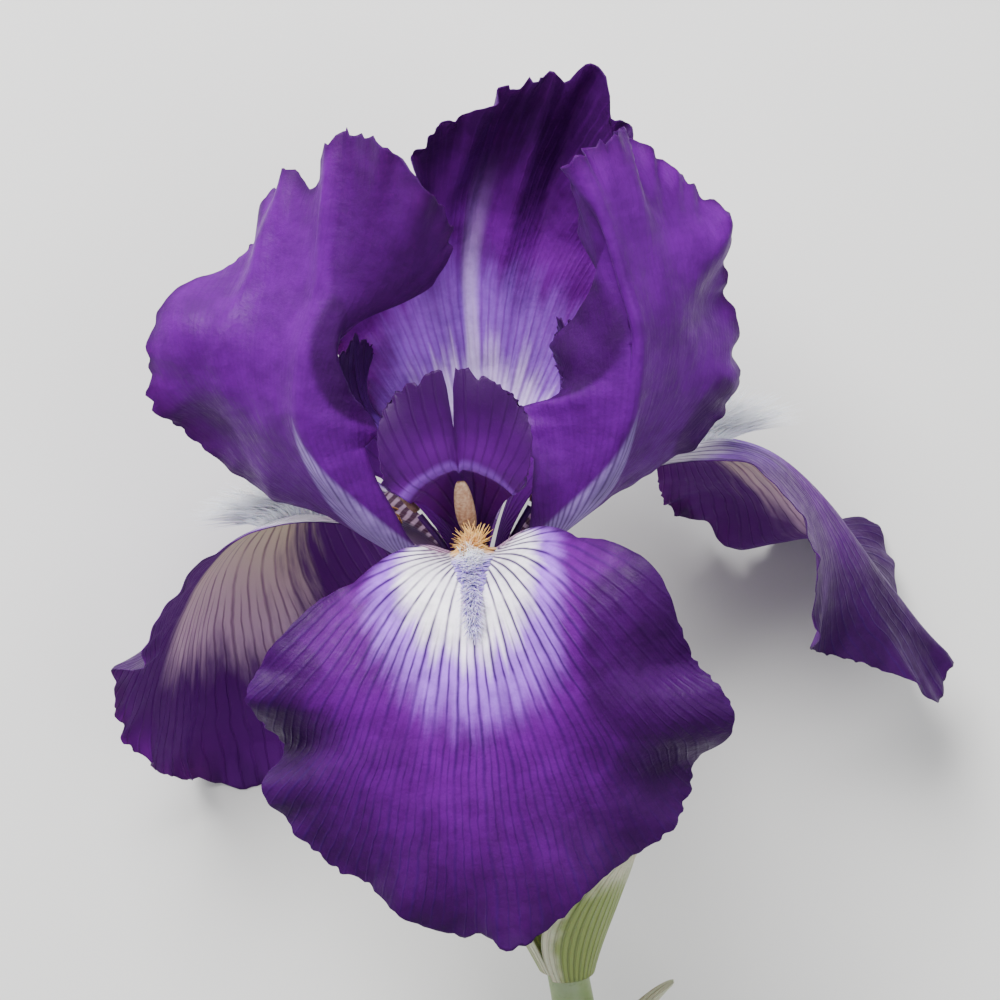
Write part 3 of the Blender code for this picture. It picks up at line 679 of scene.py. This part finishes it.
def add_rod(name, path, radii, azimuth, flat, groove=0.0, **finish):
    """A rod through (out, up) points, this many times as wide as it is deep."""
    turn = math.radians(azimuth)
    aside = np.array([math.cos(turn), math.sin(turn), 0.0])
    points = np.outer(path[:, 0], around(turn)) + np.outer(path[:, 1], [0.0, 0.0, 1.0])
    turns = -np.linspace(0, 2 * math.pi, ROD_SIDES, endpoint=False)
    round_it = 1 - groove * np.abs(np.sin(turns)) ** 6
    rings = []
    for point, ahead, radius in zip(points, unit(np.gradient(points, axis=0)), radii):
        wide = np.outer(np.cos(turns) * flat * round_it, aside)
        deep = np.outer(np.sin(turns) * round_it, np.cross(ahead, aside))
        rings.append(point + radius * (wide + deep))
    return add_rings(name, rings, **finish)


# ---------------- materials

# In the finishes, noise takes grains in a metre, ease the two values that it steps between and what
# it gives there, and bump a depth in metres.

# The main veins and the finer ones between them: (place between two main ones, share of their width,
# mm out where they start).
VEIN_ORDERS = ((0.0, 1.0, -30.0), (0.5, 0.7, 17.0), (0.25, 0.5, 32.0))
VEIN_RUN_IN = 10.0
RIB_FAN = 0.05  # where the pale midrib runs, as an angle of the fan of veins
STRIP_TAPER = 18.0  # how much the pale strip on a standard's outer face narrows from foot to tip, in mm


class Finish:
    """A material's nodes, made with short calls."""

    def __init__(self, name):
        self.material = bpy.data.materials.new(name)
        self.material.use_nodes = True
        self.tree = self.material.node_tree
        self.place = self.node("ShaderNodeTexCoord").outputs["Object"]

    def fill(self, node, inputs):
        """Puts numbers, colours and links into a node's inputs."""
        for key, value in inputs.items():
            socket = node.inputs[key]
            if isinstance(value, bpy.types.NodeSocket):
                self.tree.links.new(value, socket)
            elif hasattr(socket.default_value, "__len__") and len(socket.default_value) == 4:
                socket.default_value = (*value, 1.0)
            else:
                socket.default_value = value

    def node(self, kind, inputs=None, **settings):
        made = self.tree.nodes.new(kind)
        for key, value in settings.items():
            setattr(made, key, value)
        self.fill(made, inputs or {})
        return made

    def value(self, name):
        """A number stored on the mesh."""
        return self.node("ShaderNodeAttribute", attribute_name=name).outputs["Fac"]

    def math(self, operation, *values):
        return self.node("ShaderNodeMath", dict(enumerate(values)), operation=operation).outputs[0]

    def times(self, *values):
        return self.math("MULTIPLY", *values)

    def plus(self, *values):
        return self.math("ADD", *values)

    def off(self, value, place):
        """How far value is from place."""
        return self.math("ABSOLUTE", self.math("SUBTRACT", value, place))

    def ease(self, value, low, high, start=0.0, end=1.0):
        """start where value is low and end where it is high, with a smooth step between."""
        names = ("Value", "From Min", "From Max", "To Min", "To Max")
        inputs = dict(zip(names, (value, low, high, start, end)))
        return self.node("ShaderNodeMapRange", inputs, interpolation_type="SMOOTHSTEP").outputs["Result"]

    def mix(self, share, first, second):
        """A colour between two."""
        return self.node("ShaderNodeMix", {0: share, 6: first, 7: second}, data_type="RGBA").outputs[2]

    def bright(self, colour, value):
        """A colour, this many times as bright."""
        return self.node("ShaderNodeHueSaturation", {"Color": colour, "Value": value}).outputs[0]

    def noise(self, scale, detail=3.0, where=None, roughness=0.55):
        """Noise about 0.5, of this many grains in a metre."""
        inputs = {"Vector": where or self.place, "Scale": scale, "Detail": detail, "Roughness": roughness}
        return self.node("ShaderNodeTexNoise", inputs).outputs["Fac"]

    def patches(self, scale, low, high):
        """A number that drifts between two, in this many patches in a metre."""
        return self.ease(self.noise(scale, 2), 0.2, 0.8, low, high)

    def streaks(self, per_radian, amount):
        """Noise drawn out along the veins, about 0, of this amount."""
        inputs = {0: self.times(self.value("fan"), per_radian), 1: self.times(self.value("reach"), 0.06)}
        where = self.node("ShaderNodeCombineXYZ", inputs).outputs[0]
        return self.times(self.math("SUBTRACT", self.noise(1.0, 4, where), 0.5), amount)

    def veins(self, per_radian, wobble):
        """How much of a vein each place of a petal is, from 0 to 1."""
        reach = self.value("reach")
        drift = self.times(self.math("SUBTRACT", self.noise(70), 0.5), wobble)
        place = self.plus(self.times(self.value("fan"), per_radian), drift)
        beside = self.math("PINGPONG", place, 0.5)
        spacing = self.math("DIVIDE", self.math("MAXIMUM", reach, 4.0), per_radian)
        wide = self.ease(reach, 0.0, 40.0, 0.28, 0.42)
        total = 0.0
        for centre, share, starts in VEIN_ORDERS:
            far = self.times(self.off(beside, centre), spacing)
            line = self.ease(far, 0.0, self.times(wide, share), 1.0, 0.0)
            line = self.times(line, self.ease(reach, starts, starts + VEIN_RUN_IN))
            total = self.math("MAXIMUM", total, line)
        return self.times(total, self.ease(self.noise(130, 2), 0.3, 0.55, 0.45, 1.0))

    def bump(self, height, depth, strength=1.0, under=None):
        """A bump of this depth in metres, over another."""
        inputs = {"Height": height, "Distance": depth, "Strength": strength}
        if under:
            inputs["Normal"] = under
        return self.node("ShaderNodeBump", inputs).outputs["Normal"]

    def grain(self):
        """The cells of a petal's skin."""
        return self.bump(self.noise(2600), 0.00006, 0.7)

    def surface(self, colour, roughness, **more):
        """Sets the shader: linked values for colour, roughness and normal, and plain ones for the rest."""
        inputs = {key.replace("_", " "): value for key, value in more.items()}
        inputs.update({"Base Color": colour, "Roughness": roughness})
        self.fill(self.tree.nodes["Principled BSDF"], inputs)
        return self.material

    def tissue(self, colour, rough, normal, colours, sheen, gloss, green=0.35):
        """The surface of a petal, which light sinks into: green light this share of the way."""
        return self.surface(
            colour, self.patches(500, *rough), Normal=normal, Sheen_Weight=sheen, Sheen_Roughness=0.4,
            Sheen_Tint=colours.sheen, Specular_IOR_Level=gloss, Subsurface_Weight=0.12,
            Subsurface_Scale=0.0012, Subsurface_Radius=(1.0, green, 1.0),
        )


def petal_finish(name, zones, vein, vein_share, colours, per_radian=10.0, sides=1.0, streak=12.0,
                 strip=None, haft=None, rib=None):
    """A petal's face: bands of colour out from the throat, veins over them and a darker margin.

    zones lists (mm from where the veins fan out, colour) from the throat outwards.
    """
    made = Finish(name)
    fan, reach, rim = (made.value(key) for key in ("fan", "reach", "rim"))
    far = made.times(reach, made.math("MULTIPLY_ADD", made.times(fan, fan), sides, 1.0))
    far = made.plus(made.plus(far, made.streaks(16.0, streak)), made.times(made.noise(45), 5.0))
    colour = zones[0][1]
    for (low, _), (high, outer) in zip(zones, zones[1:]):
        colour = made.mix(made.ease(far, low, high), colour, outer)
    lines = made.veins(per_radian, 0.5)
    faint = made.ease(far, 26.0, 50.0, vein_share, vein_share * 0.5)
    colour = made.mix(made.times(lines, faint), colour, vein)
    if rib:
        close = made.ease(made.off(fan, RIB_FAN), 0.01, 0.05, 1.0, 0.0)
        colour = made.mix(made.times(close, made.ease(reach, 24.0, 60.0, 0.5, 0.0)), colour, rib)
    if strip:
        side = made.math("MULTIPLY_ADD", made.value("along"), STRIP_TAPER, made.value("aside"))
        pale = made.mix(made.times(lines, 0.6), strip, vein)
        colour = made.mix(made.ease(side, 8.0, 9.0, 0.95, 0.0), colour, pale)
    if haft:
        bars = made.math("PINGPONG", made.math("MULTIPLY_ADD", made.noise(500, 2), 0.6, reach), 0.8)
        bars = made.mix(made.ease(bars, 0.3, 0.6), haft, colours.blush)
        foot = made.ease(reach, 2.0, 9.0, 1.0, 0.0)
        colour = made.mix(made.times(made.ease(rim, 0.4, 0.6), foot), colour, bars)
    # Painted shade: the petal's shades laid on as deep violet.
    colour = made.mix(made.times(made.value("shade"), 0.9), colour, colours.deep)
    border = made.plus(rim, made.times(made.noise(260, 2), 0.06))
    colour = made.mix(made.ease(border, 0.93, 1.04, 0.0, 0.8), colour, colours.edge)
    colour = made.bright(colour, made.ease(made.noise(150, 6, roughness=0.65), 0.3, 0.7, 0.74, 1.2))
    crinkle = made.bump(made.streaks(22.0, 1.0), 0.0006, 0.3, made.grain())
    crepe = made.bump(made.noise(260, 5), 0.0006, 0.6, crinkle)
    ridge = made.bump(made.times(lines, vein_share), 0.0002, 0.4, crepe)
    return made.tissue(colour, (0.42, 0.62), ridge, colours, 0.05, 0.12)


def fall_upper_finish(colours):
    # The haft colour at the claw is partly painted shade of the throat.
    zones = [(-4, colours.haft), (4, colours.white), (21, colours.white), (30, colours.lavender),
             (40, colours.violet), (70, colours.deep)]
    return petal_finish("fall_upper", zones, colours.vein, 1.0, colours, haft=colours.haft)


def fall_under_finish(colours):
    made = Finish("fall_under")
    lines, along = made.veins(7.0, 0.4), made.value("along")
    blush = made.mix(made.ease(along, 0.35, 0.75), colours.cream, colours.blush)
    olive = made.mix(made.ease(along, 0.3, 0.6), colours.olive, colours.mauve)
    colour = made.mix(made.times(lines, 0.75), blush, olive)
    border = made.plus(made.value("rim"), made.streaks(14.0, 0.5))
    colour = made.mix(made.ease(border, 0.3, 0.6), colour, colours.violet)
    # Below a fall, its shades paint violet, not shade, as its outer end does.
    purple = made.math("MAXIMUM", made.ease(along, 0.72, 0.95), made.value("shade"))
    colour = made.mix(purple, colour, colours.violet)
    colour = made.mix(made.ease(border, 0.85, 1.1), colour, colours.edge)
    ridge = made.bump(lines, 0.0005, 0.6, made.grain())
    return made.tissue(colour, (0.45, 0.65), ridge, colours, 0.08, 0.15, 0.5)


def standard_inner_finish(colours):
    dusk = tuple(0.65 * part for part in colours.lavender)
    # The deep violet at the foot of the inner face is painted shade, deep in the flower's throat.
    zones = [(6, colours.deep), (12, colours.claw), (20, colours.claw), (33, dusk),
             (47, colours.violet), (68, colours.deep)]
    return petal_finish("standard_inner", zones, colours.violet, 0.5, colours, per_radian=14.0,
                        streak=22.0, rib=colours.claw)


def standard_outer_finish(colours):
    zones = [(0, colours.violet), (20, colours.violet_lit), (60, colours.violet_lit),
             (85, colours.violet)]
    return petal_finish("standard_outer", zones, colours.deep, 0.16, colours, per_radian=15.0,
                        sides=0.6, strip=colours.lilac)


def style_finish(colours):
    made = Finish("style_arm")
    lines, along = made.veins(8.0, 0.3), made.value("along")
    # Painted shade: the arm is deep violet at its foot, in the throat, and violet further out.
    colour = made.mix(made.ease(along, 0.05, 0.4), colours.deep, colours.violet)
    # Darker towards the crest, with a noisy edge.
    toward_crest = made.math("MULTIPLY_ADD", made.noise(160), 0.3, along)
    colour = made.mix(made.ease(toward_crest, 0.6, 1.1), colour, colours.deep)
    lip = made.ease(made.off(along, LIP_PLACE), 0.012, 0.04, 0.45, 0.0)
    colour = made.mix(lip, colour, colours.lavender)
    colour = made.mix(made.times(lines, 0.35), colour, colours.deep)
    ridge = made.bump(lines, 0.0003, 0.5, made.grain())
    return made.tissue(colour, (0.4, 0.6), ridge, colours, 0.06, 0.14)


def beard_finish(colours):
    made = Finish("beard_hair")
    place = made.plus(made.value("place"), made.times(made.noise(500, 2), 0.1))
    tip = made.math("SUBTRACT", made.value("along"), made.value("low"))
    pale = made.mix(made.ease(tip, -0.3, 0.6), colours.beard_blue, colours.beard)
    return made.surface(
        made.mix(made.ease(place, 0.3, 0.42), colours.gold, pale), made.patches(900, 0.5, 0.75),
        Sheen_Weight=0.4, Sheen_Roughness=0.5, Specular_IOR_Level=0.3, Subsurface_Weight=0.1,
        Subsurface_Scale=0.0006,
    )


def anther_finish(colours):
    made = Finish("anther_pollen")
    grain = made.noise(1800, 4)
    return made.surface(
        made.mix(made.ease(grain, 0.35, 0.65), colours.anther, colours.pollen),
        made.ease(grain, 0.3, 0.7, 0.7, 0.95), Normal=made.bump(grain, 0.0002, 0.8),
        Specular_IOR_Level=0.2,
    )


def filament_finish(colours):
    made = Finish("filament_skin")
    # Painted shade: the filaments are deep violet to violet for the shade deep in the throat.
    return made.surface(
        made.mix(made.ease(made.value("along"), 0.2, 1.0), colours.deep, colours.violet),
        made.patches(900, 0.35, 0.55), Normal=made.bump(made.noise(1500, 2), 0.00005, 0.6),
        Subsurface_Weight=0.15, Subsurface_Scale=0.0008,
    )


def green_finish(name, low, high, ridges):
    """A waxy green skin with fine lengthwise lines, from low at its foot to high at its top."""
    made = Finish(name)
    blotch = made.noise(120, 4)
    colour = made.mix(made.ease(made.value("along"), 0.0, 1.0), low, high)
    bloom = tuple(0.55 * part + 0.30 for part in high)
    colour = made.mix(made.ease(blotch, 0.42, 0.72, 0.0, 0.45), colour, bloom)
    speck = made.ease(made.noise(1100, 2), 0.6, 0.75, 0.0, 0.25)
    colour = made.mix(speck, colour, tuple(0.6 * part for part in low))
    return made.surface(
        colour, made.ease(blotch, 0.3, 0.7, 0.38, 0.58), Normal=made.bump(made.noise(ridges), 0.00012, 0.8),
        Specular_IOR_Level=0.4, Coat_Weight=0.08, Coat_Roughness=0.4, Subsurface_Weight=0.08,
        Subsurface_Scale=0.001,
    )


def bract_finish(name, body, paper, paper_from):
    """A bract with lengthwise ribs, going papery towards its margin and tip."""
    made = Finish(name)
    ribs = made.math("PINGPONG", made.times(made.value("across"), BRACT_RIBS), 0.5)
    rib = made.ease(ribs, 0.0, 0.3, 1.0, 0.0)
    border = made.plus(made.value("rim"), made.times(made.noise(240, 4), 0.3))
    dark = tuple(0.62 * part for part in body)
    colour = made.mix(made.times(rib, 0.5), body, dark)
    colour = made.mix(made.ease(border, paper_from, paper_from + 0.25), colour, paper)
    colour = made.mix(made.ease(made.noise(420, 4), 0.55, 0.75, 0.0, 0.35), colour, dark)
    ridge = made.bump(rib, 0.0005, 0.7, made.bump(made.noise(900, 4), 0.0002, 0.6))
    return made.surface(
        colour, made.patches(300, 0.45, 0.7), Normal=ridge, Sheen_Weight=0.1, Specular_IOR_Level=0.3,
        Subsurface_Weight=0.1, Subsurface_Scale=0.001,
    )


# ---------------- settings


def colour(name, description, default):
    return FloatVectorProperty(name=name, description=description, default=default, subtype="COLOR",
                               size=3, min=0.0, max=1.0)


def number(name, description, default, **more):
    return FloatProperty(name=name, description=description, default=default, **more)


class IrisColours(bpy.types.PropertyGroup):
    """The flower's colours."""

    white: colour("White", "The pale heart of each fall", (0.96, 0.90, 1.0))
    # haft: the falls' own dark haft bars, made darker still as painted shade of the throat.
    haft: colour("Haft", "The dark bars at the sides of each fall's foot", (0.09, 0.02, 0.07))
    lavender: colour("Lavender", "Between the heart and the blade", (0.30, 0.09, 0.66))
    violet: colour("Violet", "The blades", (0.092, 0.0, 0.172))
    violet_lit: colour("Outer violet", "The outer faces of the standards", (0.082, 0.0, 0.165))
    # deep: the blades' own deep violet at their ends, also used as painted shade in the throat, on the
    # filaments and the style arms' feet, and in the petals' shades.
    deep: colour("Deep violet", "The ends of the blades", (0.028, 0.0, 0.055))
    edge: colour("Margin", "The margins", (0.026, 0.0, 0.055))
    vein: colour("Veins", "The veins on the falls", (0.022, 0.0, 0.075))
    lilac: colour("Lilac", "The paler foot of each standard, outside", (0.27, 0.17, 0.48))
    claw: colour("Claw", "The palest part of each standard", (0.62, 0.48, 0.84))
    cream: colour("Cream", "The underside of each fall, near its foot", (0.80, 0.70, 0.46))
    blush: colour("Blush", "The underside of each fall, further out", (0.62, 0.42, 0.58))
    mauve: colour("Mauve", "The veins under each fall, further out", (0.26, 0.12, 0.26))
    olive: colour("Olive", "The veins under each fall", (0.24, 0.20, 0.07))
    sheen: colour("Sheen", "The velvet sheen of the petals", (0.55, 0.25, 0.95))
    beard: colour("Beard", "The tips of the beards' hairs", (0.93, 0.94, 1.0))
    beard_blue: colour("Beard shade", "The lower part of the beards' hairs", (0.32, 0.21, 0.66))
    gold: colour("Gold", "The beards' hairs in the throat", (0.68, 0.36, 0.08))
    anther: colour("Anther", "The anthers", (0.36, 0.20, 0.12))
    pollen: colour("Pollen", "The pollen on them", (0.52, 0.36, 0.24))
    tube: colour("Tube", "The tube and the ovary", (0.26, 0.36, 0.13))
    stem: colour("Stem", "The stem", (0.17, 0.27, 0.09))
    spathe: colour("Spathe", "The green bracts", (0.30, 0.38, 0.11))
    paper: colour("Paper", "The papery edge of the bracts", (0.66, 0.66, 0.46))
    dry: colour("Dry bract", "The dry bract", (0.62, 0.52, 0.36))


class IrisSizes(bpy.types.PropertyGroup):
    """The sizes that the fine surfaces take."""

    petal: number("Petal thickness", "Of the falls and standards, in mm", 0.36, min=0.1, max=0.5)
    style: number("Style arm thickness", "In mm", 0.5, min=0.1, max=0.6)
    bract: number("Bract thickness", "In mm", 0.4, min=0.1, max=0.6)
    hairs: IntProperty(name="Hairs", description="On each beard", default=860, min=50, max=1500)
    hair: number("Hair length", "Of the longest hairs, in mm", 6.2, min=1.0, max=8.0)
    hair_radius: number("Hair radius", "At a hair's foot, in mm", 0.29, min=0.05, max=0.4)


class IrisStage(bpy.types.PropertyGroup):
    """The camera, the lights and the floor."""

    rise: number("Rise", "Of the camera above the flower's front", math.radians(17), subtype="ANGLE")
    lean: number("Lean", "Of the flower to the left in view", math.radians(5), subtype="ANGLE")
    distance: number("Distance", "From the camera to the throat", 0.6, unit="LENGTH")
    width: number("View width", "What the camera sees across, at the throat", 0.15, unit="LENGTH")
    floor: number("Floor", "The floor's side", 8.0, unit="LENGTH")
    floor_colour: colour("Floor colour", "The floor", (0.80, 0.79, 0.77))
    key: number("Key light", "In watts", 21.0, unit="POWER")
    fill: number("Fill light", "In watts", 3.5, unit="POWER")
    sky: number("Sky", "The strength of the light from all round", 0.45)


# ---------------- operators


def add_petals(kind, petals, context, finishes):
    """The three falls or the three standards."""
    for side, petal in petals.items():
        add_petal(f"{side}_{kind}", petal, PETAL_GRID, context.scene.iris_sizes.petal,
                  node=f"{kind}_{side}", slot="violet_petal", materials=finishes)


class IRIS_OT_falls(bpy.types.Operator):
    """Makes the three falls, which hang down"""

    bl_idname = "iris.falls"
    bl_label = "Falls"

    def execute(self, context):
        colours = context.scene.iris_colours
        add_petals("fall", FINE_FALLS, context, [fall_under_finish(colours), fall_upper_finish(colours)])
        return {"FINISHED"}


class IRIS_OT_standards(bpy.types.Operator):
    """Makes the three standards, which stand up"""

    bl_idname = "iris.standards"
    bl_label = "Standards"

    def execute(self, context):
        colours = context.scene.iris_colours
        finishes = [standard_outer_finish(colours), standard_inner_finish(colours)]
        add_petals("standard", FINE_STANDARDS, context, finishes)
        return {"FINISHED"}


class IRIS_OT_style(bpy.types.Operator):
    """Makes the style column and its three crested arms"""

    bl_idname = "iris.style"
    bl_label = "Style"

    def execute(self, context):
        finish = style_finish(context.scene.iris_colours)
        for side, arm in ARMS.items():
            add_petal(f"{side}_style_arm", arm, STYLE_GRID, context.scene.iris_sizes.style,
                      node=f"style_arm_{side}", slot="style_violet", materials=[finish, finish])
        add_stalk("style_stalk", COLUMN, 12, node="style_column", slot="style_violet", materials=[finish])
        return {"FINISHED"}


class IRIS_OT_stamens(bpy.types.Operator):
    """Makes the filaments and the anthers on them"""

    bl_idname = "iris.stamens"
    bl_label = "Stamens"

    def execute(self, context):
        colours = context.scene.iris_colours
        skin, pollen = filament_finish(colours), anther_finish(colours)
        thin = np.full(18, FILAMENT_RADIUS)
        places = np.linspace(0, 1, 30)
        wave = np.sin(math.pi * (ANTHER_ENDS + (1 - 2 * ANTHER_ENDS) * places))
        for side, arm in ARMS.items():
            add_rod(f"{side}_filament", through(FILAMENT, np.linspace(0, 1, len(thin))), thin,
                    arm.azimuth, 1.0, node=f"filament_{side}", slot="filament", materials=[skin])
            add_rod(f"{side}_anther", through(ANTHER, places), ANTHER_RADIUS * wave**ANTHER_BLUNT,
                    arm.azimuth, ANTHER_FLAT, ANTHER_GROOVE, node=f"anther_{side}", slot="anther",
                    materials=[pollen])
        return {"FINISHED"}


class IRIS_OT_beards(bpy.types.Operator):
    """Makes the beards, hair by hair"""

    bl_idname = "iris.beards"
    bl_label = "Beards"

    def execute(self, context):
        finish = beard_finish(context.scene.iris_colours)
        for seed, (side, fall) in enumerate(FINE_FALLS.items()):
            add_beard(f"{side}_beard", fall, context.scene.iris_sizes, side, np.random.default_rng(seed),
                      node=f"beard_{side}", slot="beard", materials=[finish])
        return {"FINISHED"}


def add_beard(name, fall, sizes, side, rng, **finish):
    """Tapered hairs on a fall's midrib, which lean out more the further they are from the throat."""
    count = sizes.hairs
    place = np.sort(rng.random(count)) ** BEARD_CROWDING
    along = BEARD_ALONG[0] + (BEARD_ALONG[1] - BEARD_ALONG[0]) * place
    half = through(np.reshape(BEARD_WIDTHS, (-1, 1)), place).ravel()
    edge, _ = flat_points(fall, 1.0, along, np.ones_like(along))
    aside = rng.uniform(-1, 1, count)
    across = aside * np.minimum(BEARD_WIDEST, half / edge)
    root = petal_surface(fall, along, across)
    ahead = unit(petal_surface(fall, along + 0.01, across)["points"] - root["points"])
    across = np.cross(root["normal"], ahead)
    length = through(np.reshape(BEARD_LENGTHS[side], (-1, 1)), place).ravel()
    length = sizes.hair * length * rng.uniform(HAIR_SHORTEST, 1.0, count)
    lean = HAIR_LEAN[0] + HAIR_LEAN[1] * place + HAIR_STRAY * rng.standard_normal(count)
    spread = (HAIR_SPREAD - place) * aside + HAIR_STRAY * rng.standard_normal(count)
    start = unit(root["normal"] + ahead * lean[:, None] - across * spread[:, None])
    bend = ahead * (HAIR_BEND[0] + HAIR_BEND[1] * place)[:, None] - across * (HAIR_SPLAY * aside)[:, None]
    turn = rng.uniform(0, 2 * math.pi, count)
    rings, tips = [], np.linspace(0, 1, HAIR_JOINTS)
    for tip in tips:
        middle = root["points"] + (start + bend * tip) * (length * tip)[:, None]
        radius = sizes.hair_radius * (1 - HAIR_TAPER * tip)
        for k in range(HAIR_CORNERS):
            angle = turn + 2 * math.pi * k / HAIR_CORNERS
            wide, deep = across * np.cos(angle)[:, None], ahead * np.sin(angle)[:, None]
            rings.append(middle + radius * (wide + deep))
    points = np.stack(rings, axis=1).reshape(-1, 3)
    each = HAIR_CORNERS * HAIR_JOINTS
    faces = [face for hair in range(count) for face in ring_faces(hair * each, HAIR_JOINTS, HAIR_CORNERS)]
    values = {
        "along": np.tile(np.repeat(tips, HAIR_CORNERS), count),
        "place": np.repeat(place, each),
        "low": np.repeat(BEARD_BLUES[side] * eased(0.3, 0.6, place), each),
    }
    return add_piece(name, placed(points), faces, values=values, **finish)


class IRIS_OT_stalk(bpy.types.Operator):
    """Makes the perianth tube, the ovary and the stem"""

    bl_idname = "iris.stalk"
    bl_label = "Stalk"

    def execute(self, context):
        colours = context.scene.iris_colours
        tube = green_finish("tube_skin", colours.tube, colours.spathe, 700)
        stem = green_finish("stem_skin", colours.stem, colours.tube, 500)
        add_stalk("flower_tube", TUBE, 40, node="perianth_tube", slot="tube_green", materials=[tube])
        add_stalk("flower_ovary", OVARY, 50, OVARY_RIBS, OVARY_RIB_DEPTH, node="ovary",
                  slot="tube_green", materials=[tube])
        add_stalk("flower_stem", STEM, 160, node="stem", slot="stem_green", materials=[stem])
        return {"FINISHED"}


class IRIS_OT_bracts(bpy.types.Operator):
    """Makes the two green bracts and the dry one"""

    bl_idname = "iris.bracts"
    bl_label = "Bracts"

    def execute(self, context):
        colours = context.scene.iris_colours
        green = bract_finish("spathe_skin", colours.spathe, colours.paper, 0.8)
        dry = bract_finish("dry_skin", colours.dry, colours.paper, 0.5)
        for name, bract in BRACTS.items():
            finish, slot = (dry, "dry_bract") if name == "dry_bract" else (green, "spathe_green")
            add_bract(f"{name}_leaf", bract, context.scene.iris_sizes.bract, node=name, slot=slot,
                      materials=[finish, finish])
        return {"FINISHED"}


def add_bract(name, bract, thickness, **finish):
    """A pointed, boat-shaped bract that clasps the stalk at its foot."""
    azimuth, foot, tip, lean, wrap, foot_radius, full_radius = bract
    share, side = grid_of(*BRACT_GRID)
    height = foot + (tip - foot) * share
    half = math.radians(wrap) * np.sqrt(1 - share**BRACT_POINT) + math.radians(BRACT_TIP_TURN)
    turn = math.radians(azimuth)
    swell = np.sin(0.5 * math.pi * np.minimum(1, share / BRACT_FULL))
    radius = foot_radius + (full_radius - foot_radius) * swell
    radius = radius + BRACT_RIB_DEPTH * np.sin(BRACT_RIBS * math.pi * side) * np.abs(side) * share
    points = stalk_at(height.ravel()).reshape(*share.shape, 3)
    points = points + radius[..., None] * around(turn + side * half)
    points = points + (lean * share**2)[..., None] * around(turn)
    rim = np.maximum(np.abs(side), share)
    half_thick = 0.5 * thickness * MM * (1 - BRACT_THINS * rim**3)[..., None]
    values = {"along": share, "across": side, "rim": rim}
    points = placed(points.reshape(-1, 3)).reshape(*share.shape, 3)
    return add_sheet(name, points, half_thick, half_thick, values, **finish)


class IRIS_OT_stage(bpy.types.Operator):
    """Sets the floor, the lights and the camera"""

    bl_idname = "iris.stage"
    bl_label = "Stage"

    def execute(self, context):
        stage = context.scene.iris_stage
        add_floor(stage)
        add_camera(context.scene, stage)
        for name, (direction, distance, size) in LIGHTS.items():
            add_light(f"{name}_light", direction, distance, size, getattr(stage, name))
        world = bpy.data.worlds.new("sky")
        world.use_nodes = True
        background = world.node_tree.nodes["Background"]
        background.inputs["Color"].default_value = SKY_COLOUR
        background.inputs["Strength"].default_value = stage.sky
        context.scene.world = world
        return {"FINISHED"}


def add_floor(stage):
    """A plain pale floor at the row's z = 0."""
    half = stage.floor / 2
    mesh = bpy.data.meshes.new("floor")
    mesh.from_pydata([(-half, -half, 0), (half, -half, 0), (half, half, 0), (-half, half, 0)], [],
                     [(0, 1, 2, 3)])
    made = Finish("floor_paint")
    tone = made.bright(stage.floor_colour, made.ease(made.noise(6), 0.3, 0.7, 0.97, 1.03))
    mesh.materials.append(made.surface(tone, 0.85, Specular_IOR_Level=0.1))
    add_object("floor", mesh)


def add_camera(scene, stage):
    """A camera in front of the flower, a little above it."""
    ahead = Vector((0, math.cos(stage.rise), -math.sin(stage.rise)))
    level = Vector((0, math.sin(stage.rise), math.cos(stage.rise)))
    right = Vector((math.cos(stage.lean), 0, 0)) - level * math.sin(stage.lean)
    above = Vector((math.sin(stage.lean), 0, 0)) + level * math.cos(stage.lean)
    target = right * VIEW_MIDDLE[0] + above * VIEW_MIDDLE[1]
    data = bpy.data.cameras.new("camera")
    data.sensor_width = 36
    data.lens = data.sensor_width * stage.distance / stage.width
    data.clip_start = 0.02
    camera = scene.camera = add_object("camera", data)
    axes = Matrix([FLOWER_TURN @ right, FLOWER_TURN @ above, FLOWER_TURN @ -ahead]).transposed()
    place = THROAT + FLOWER_TURN @ (target - ahead * stage.distance)
    camera.matrix_world = Matrix.Translation(place) @ axes.to_4x4()


def add_light(name, direction, distance, size, power):
    """A square light in this direction from the throat, in the flower's frame."""
    towards = (FLOWER_TURN @ Vector(direction)).normalized()
    data = bpy.data.lights.new(name, "AREA")
    data.size = size
    data.energy = power
    turn = towards.to_track_quat("Z", "Y").to_matrix().to_4x4()
    add_object(name, data).matrix_world = Matrix.Translation(THROAT + towards * distance) @ turn


STEPS = (IRIS_OT_falls, IRIS_OT_standards, IRIS_OT_style, IRIS_OT_stamens, IRIS_OT_beards,
         IRIS_OT_stalk, IRIS_OT_bracts, IRIS_OT_stage)


class IRIS_PT_sidebar(bpy.types.Panel):
    """The steps and their settings"""

    bl_idname = "IRIS_PT_sidebar"
    bl_label = "Bearded iris"
    bl_space_type = "VIEW_3D"
    bl_region_type = "UI"
    bl_category = "Iris"

    def draw(self, context):
        for settings in (context.scene.iris_colours, context.scene.iris_sizes, context.scene.iris_stage):
            box = self.layout.box()
            for name in settings.__annotations__:
                box.prop(settings, name)
        for step in STEPS:
            self.layout.operator(step.bl_idname)


GROUPS = {"iris_colours": IrisColours, "iris_sizes": IrisSizes, "iris_stage": IrisStage}


def register():
    for item in (*GROUPS.values(), *STEPS, IRIS_PT_sidebar):
        bpy.utils.register_class(item)
    for name, group in GROUPS.items():
        setattr(bpy.types.Scene, name, PointerProperty(type=group))


def unregister():
    for name in GROUPS:
        delattr(bpy.types.Scene, name)
    for item in reversed((*GROUPS.values(), *STEPS, IRIS_PT_sidebar)):
        bpy.utils.unregister_class(item)


def main():
    register()
    bpy.ops.iris.falls()
    bpy.ops.iris.standards()
    bpy.ops.iris.style()
    bpy.ops.iris.stamens()
    bpy.ops.iris.beards()
    bpy.ops.iris.stalk()
    bpy.ops.iris.bracts()
    bpy.ops.iris.stage()


if __name__ == "__main__":
    main()
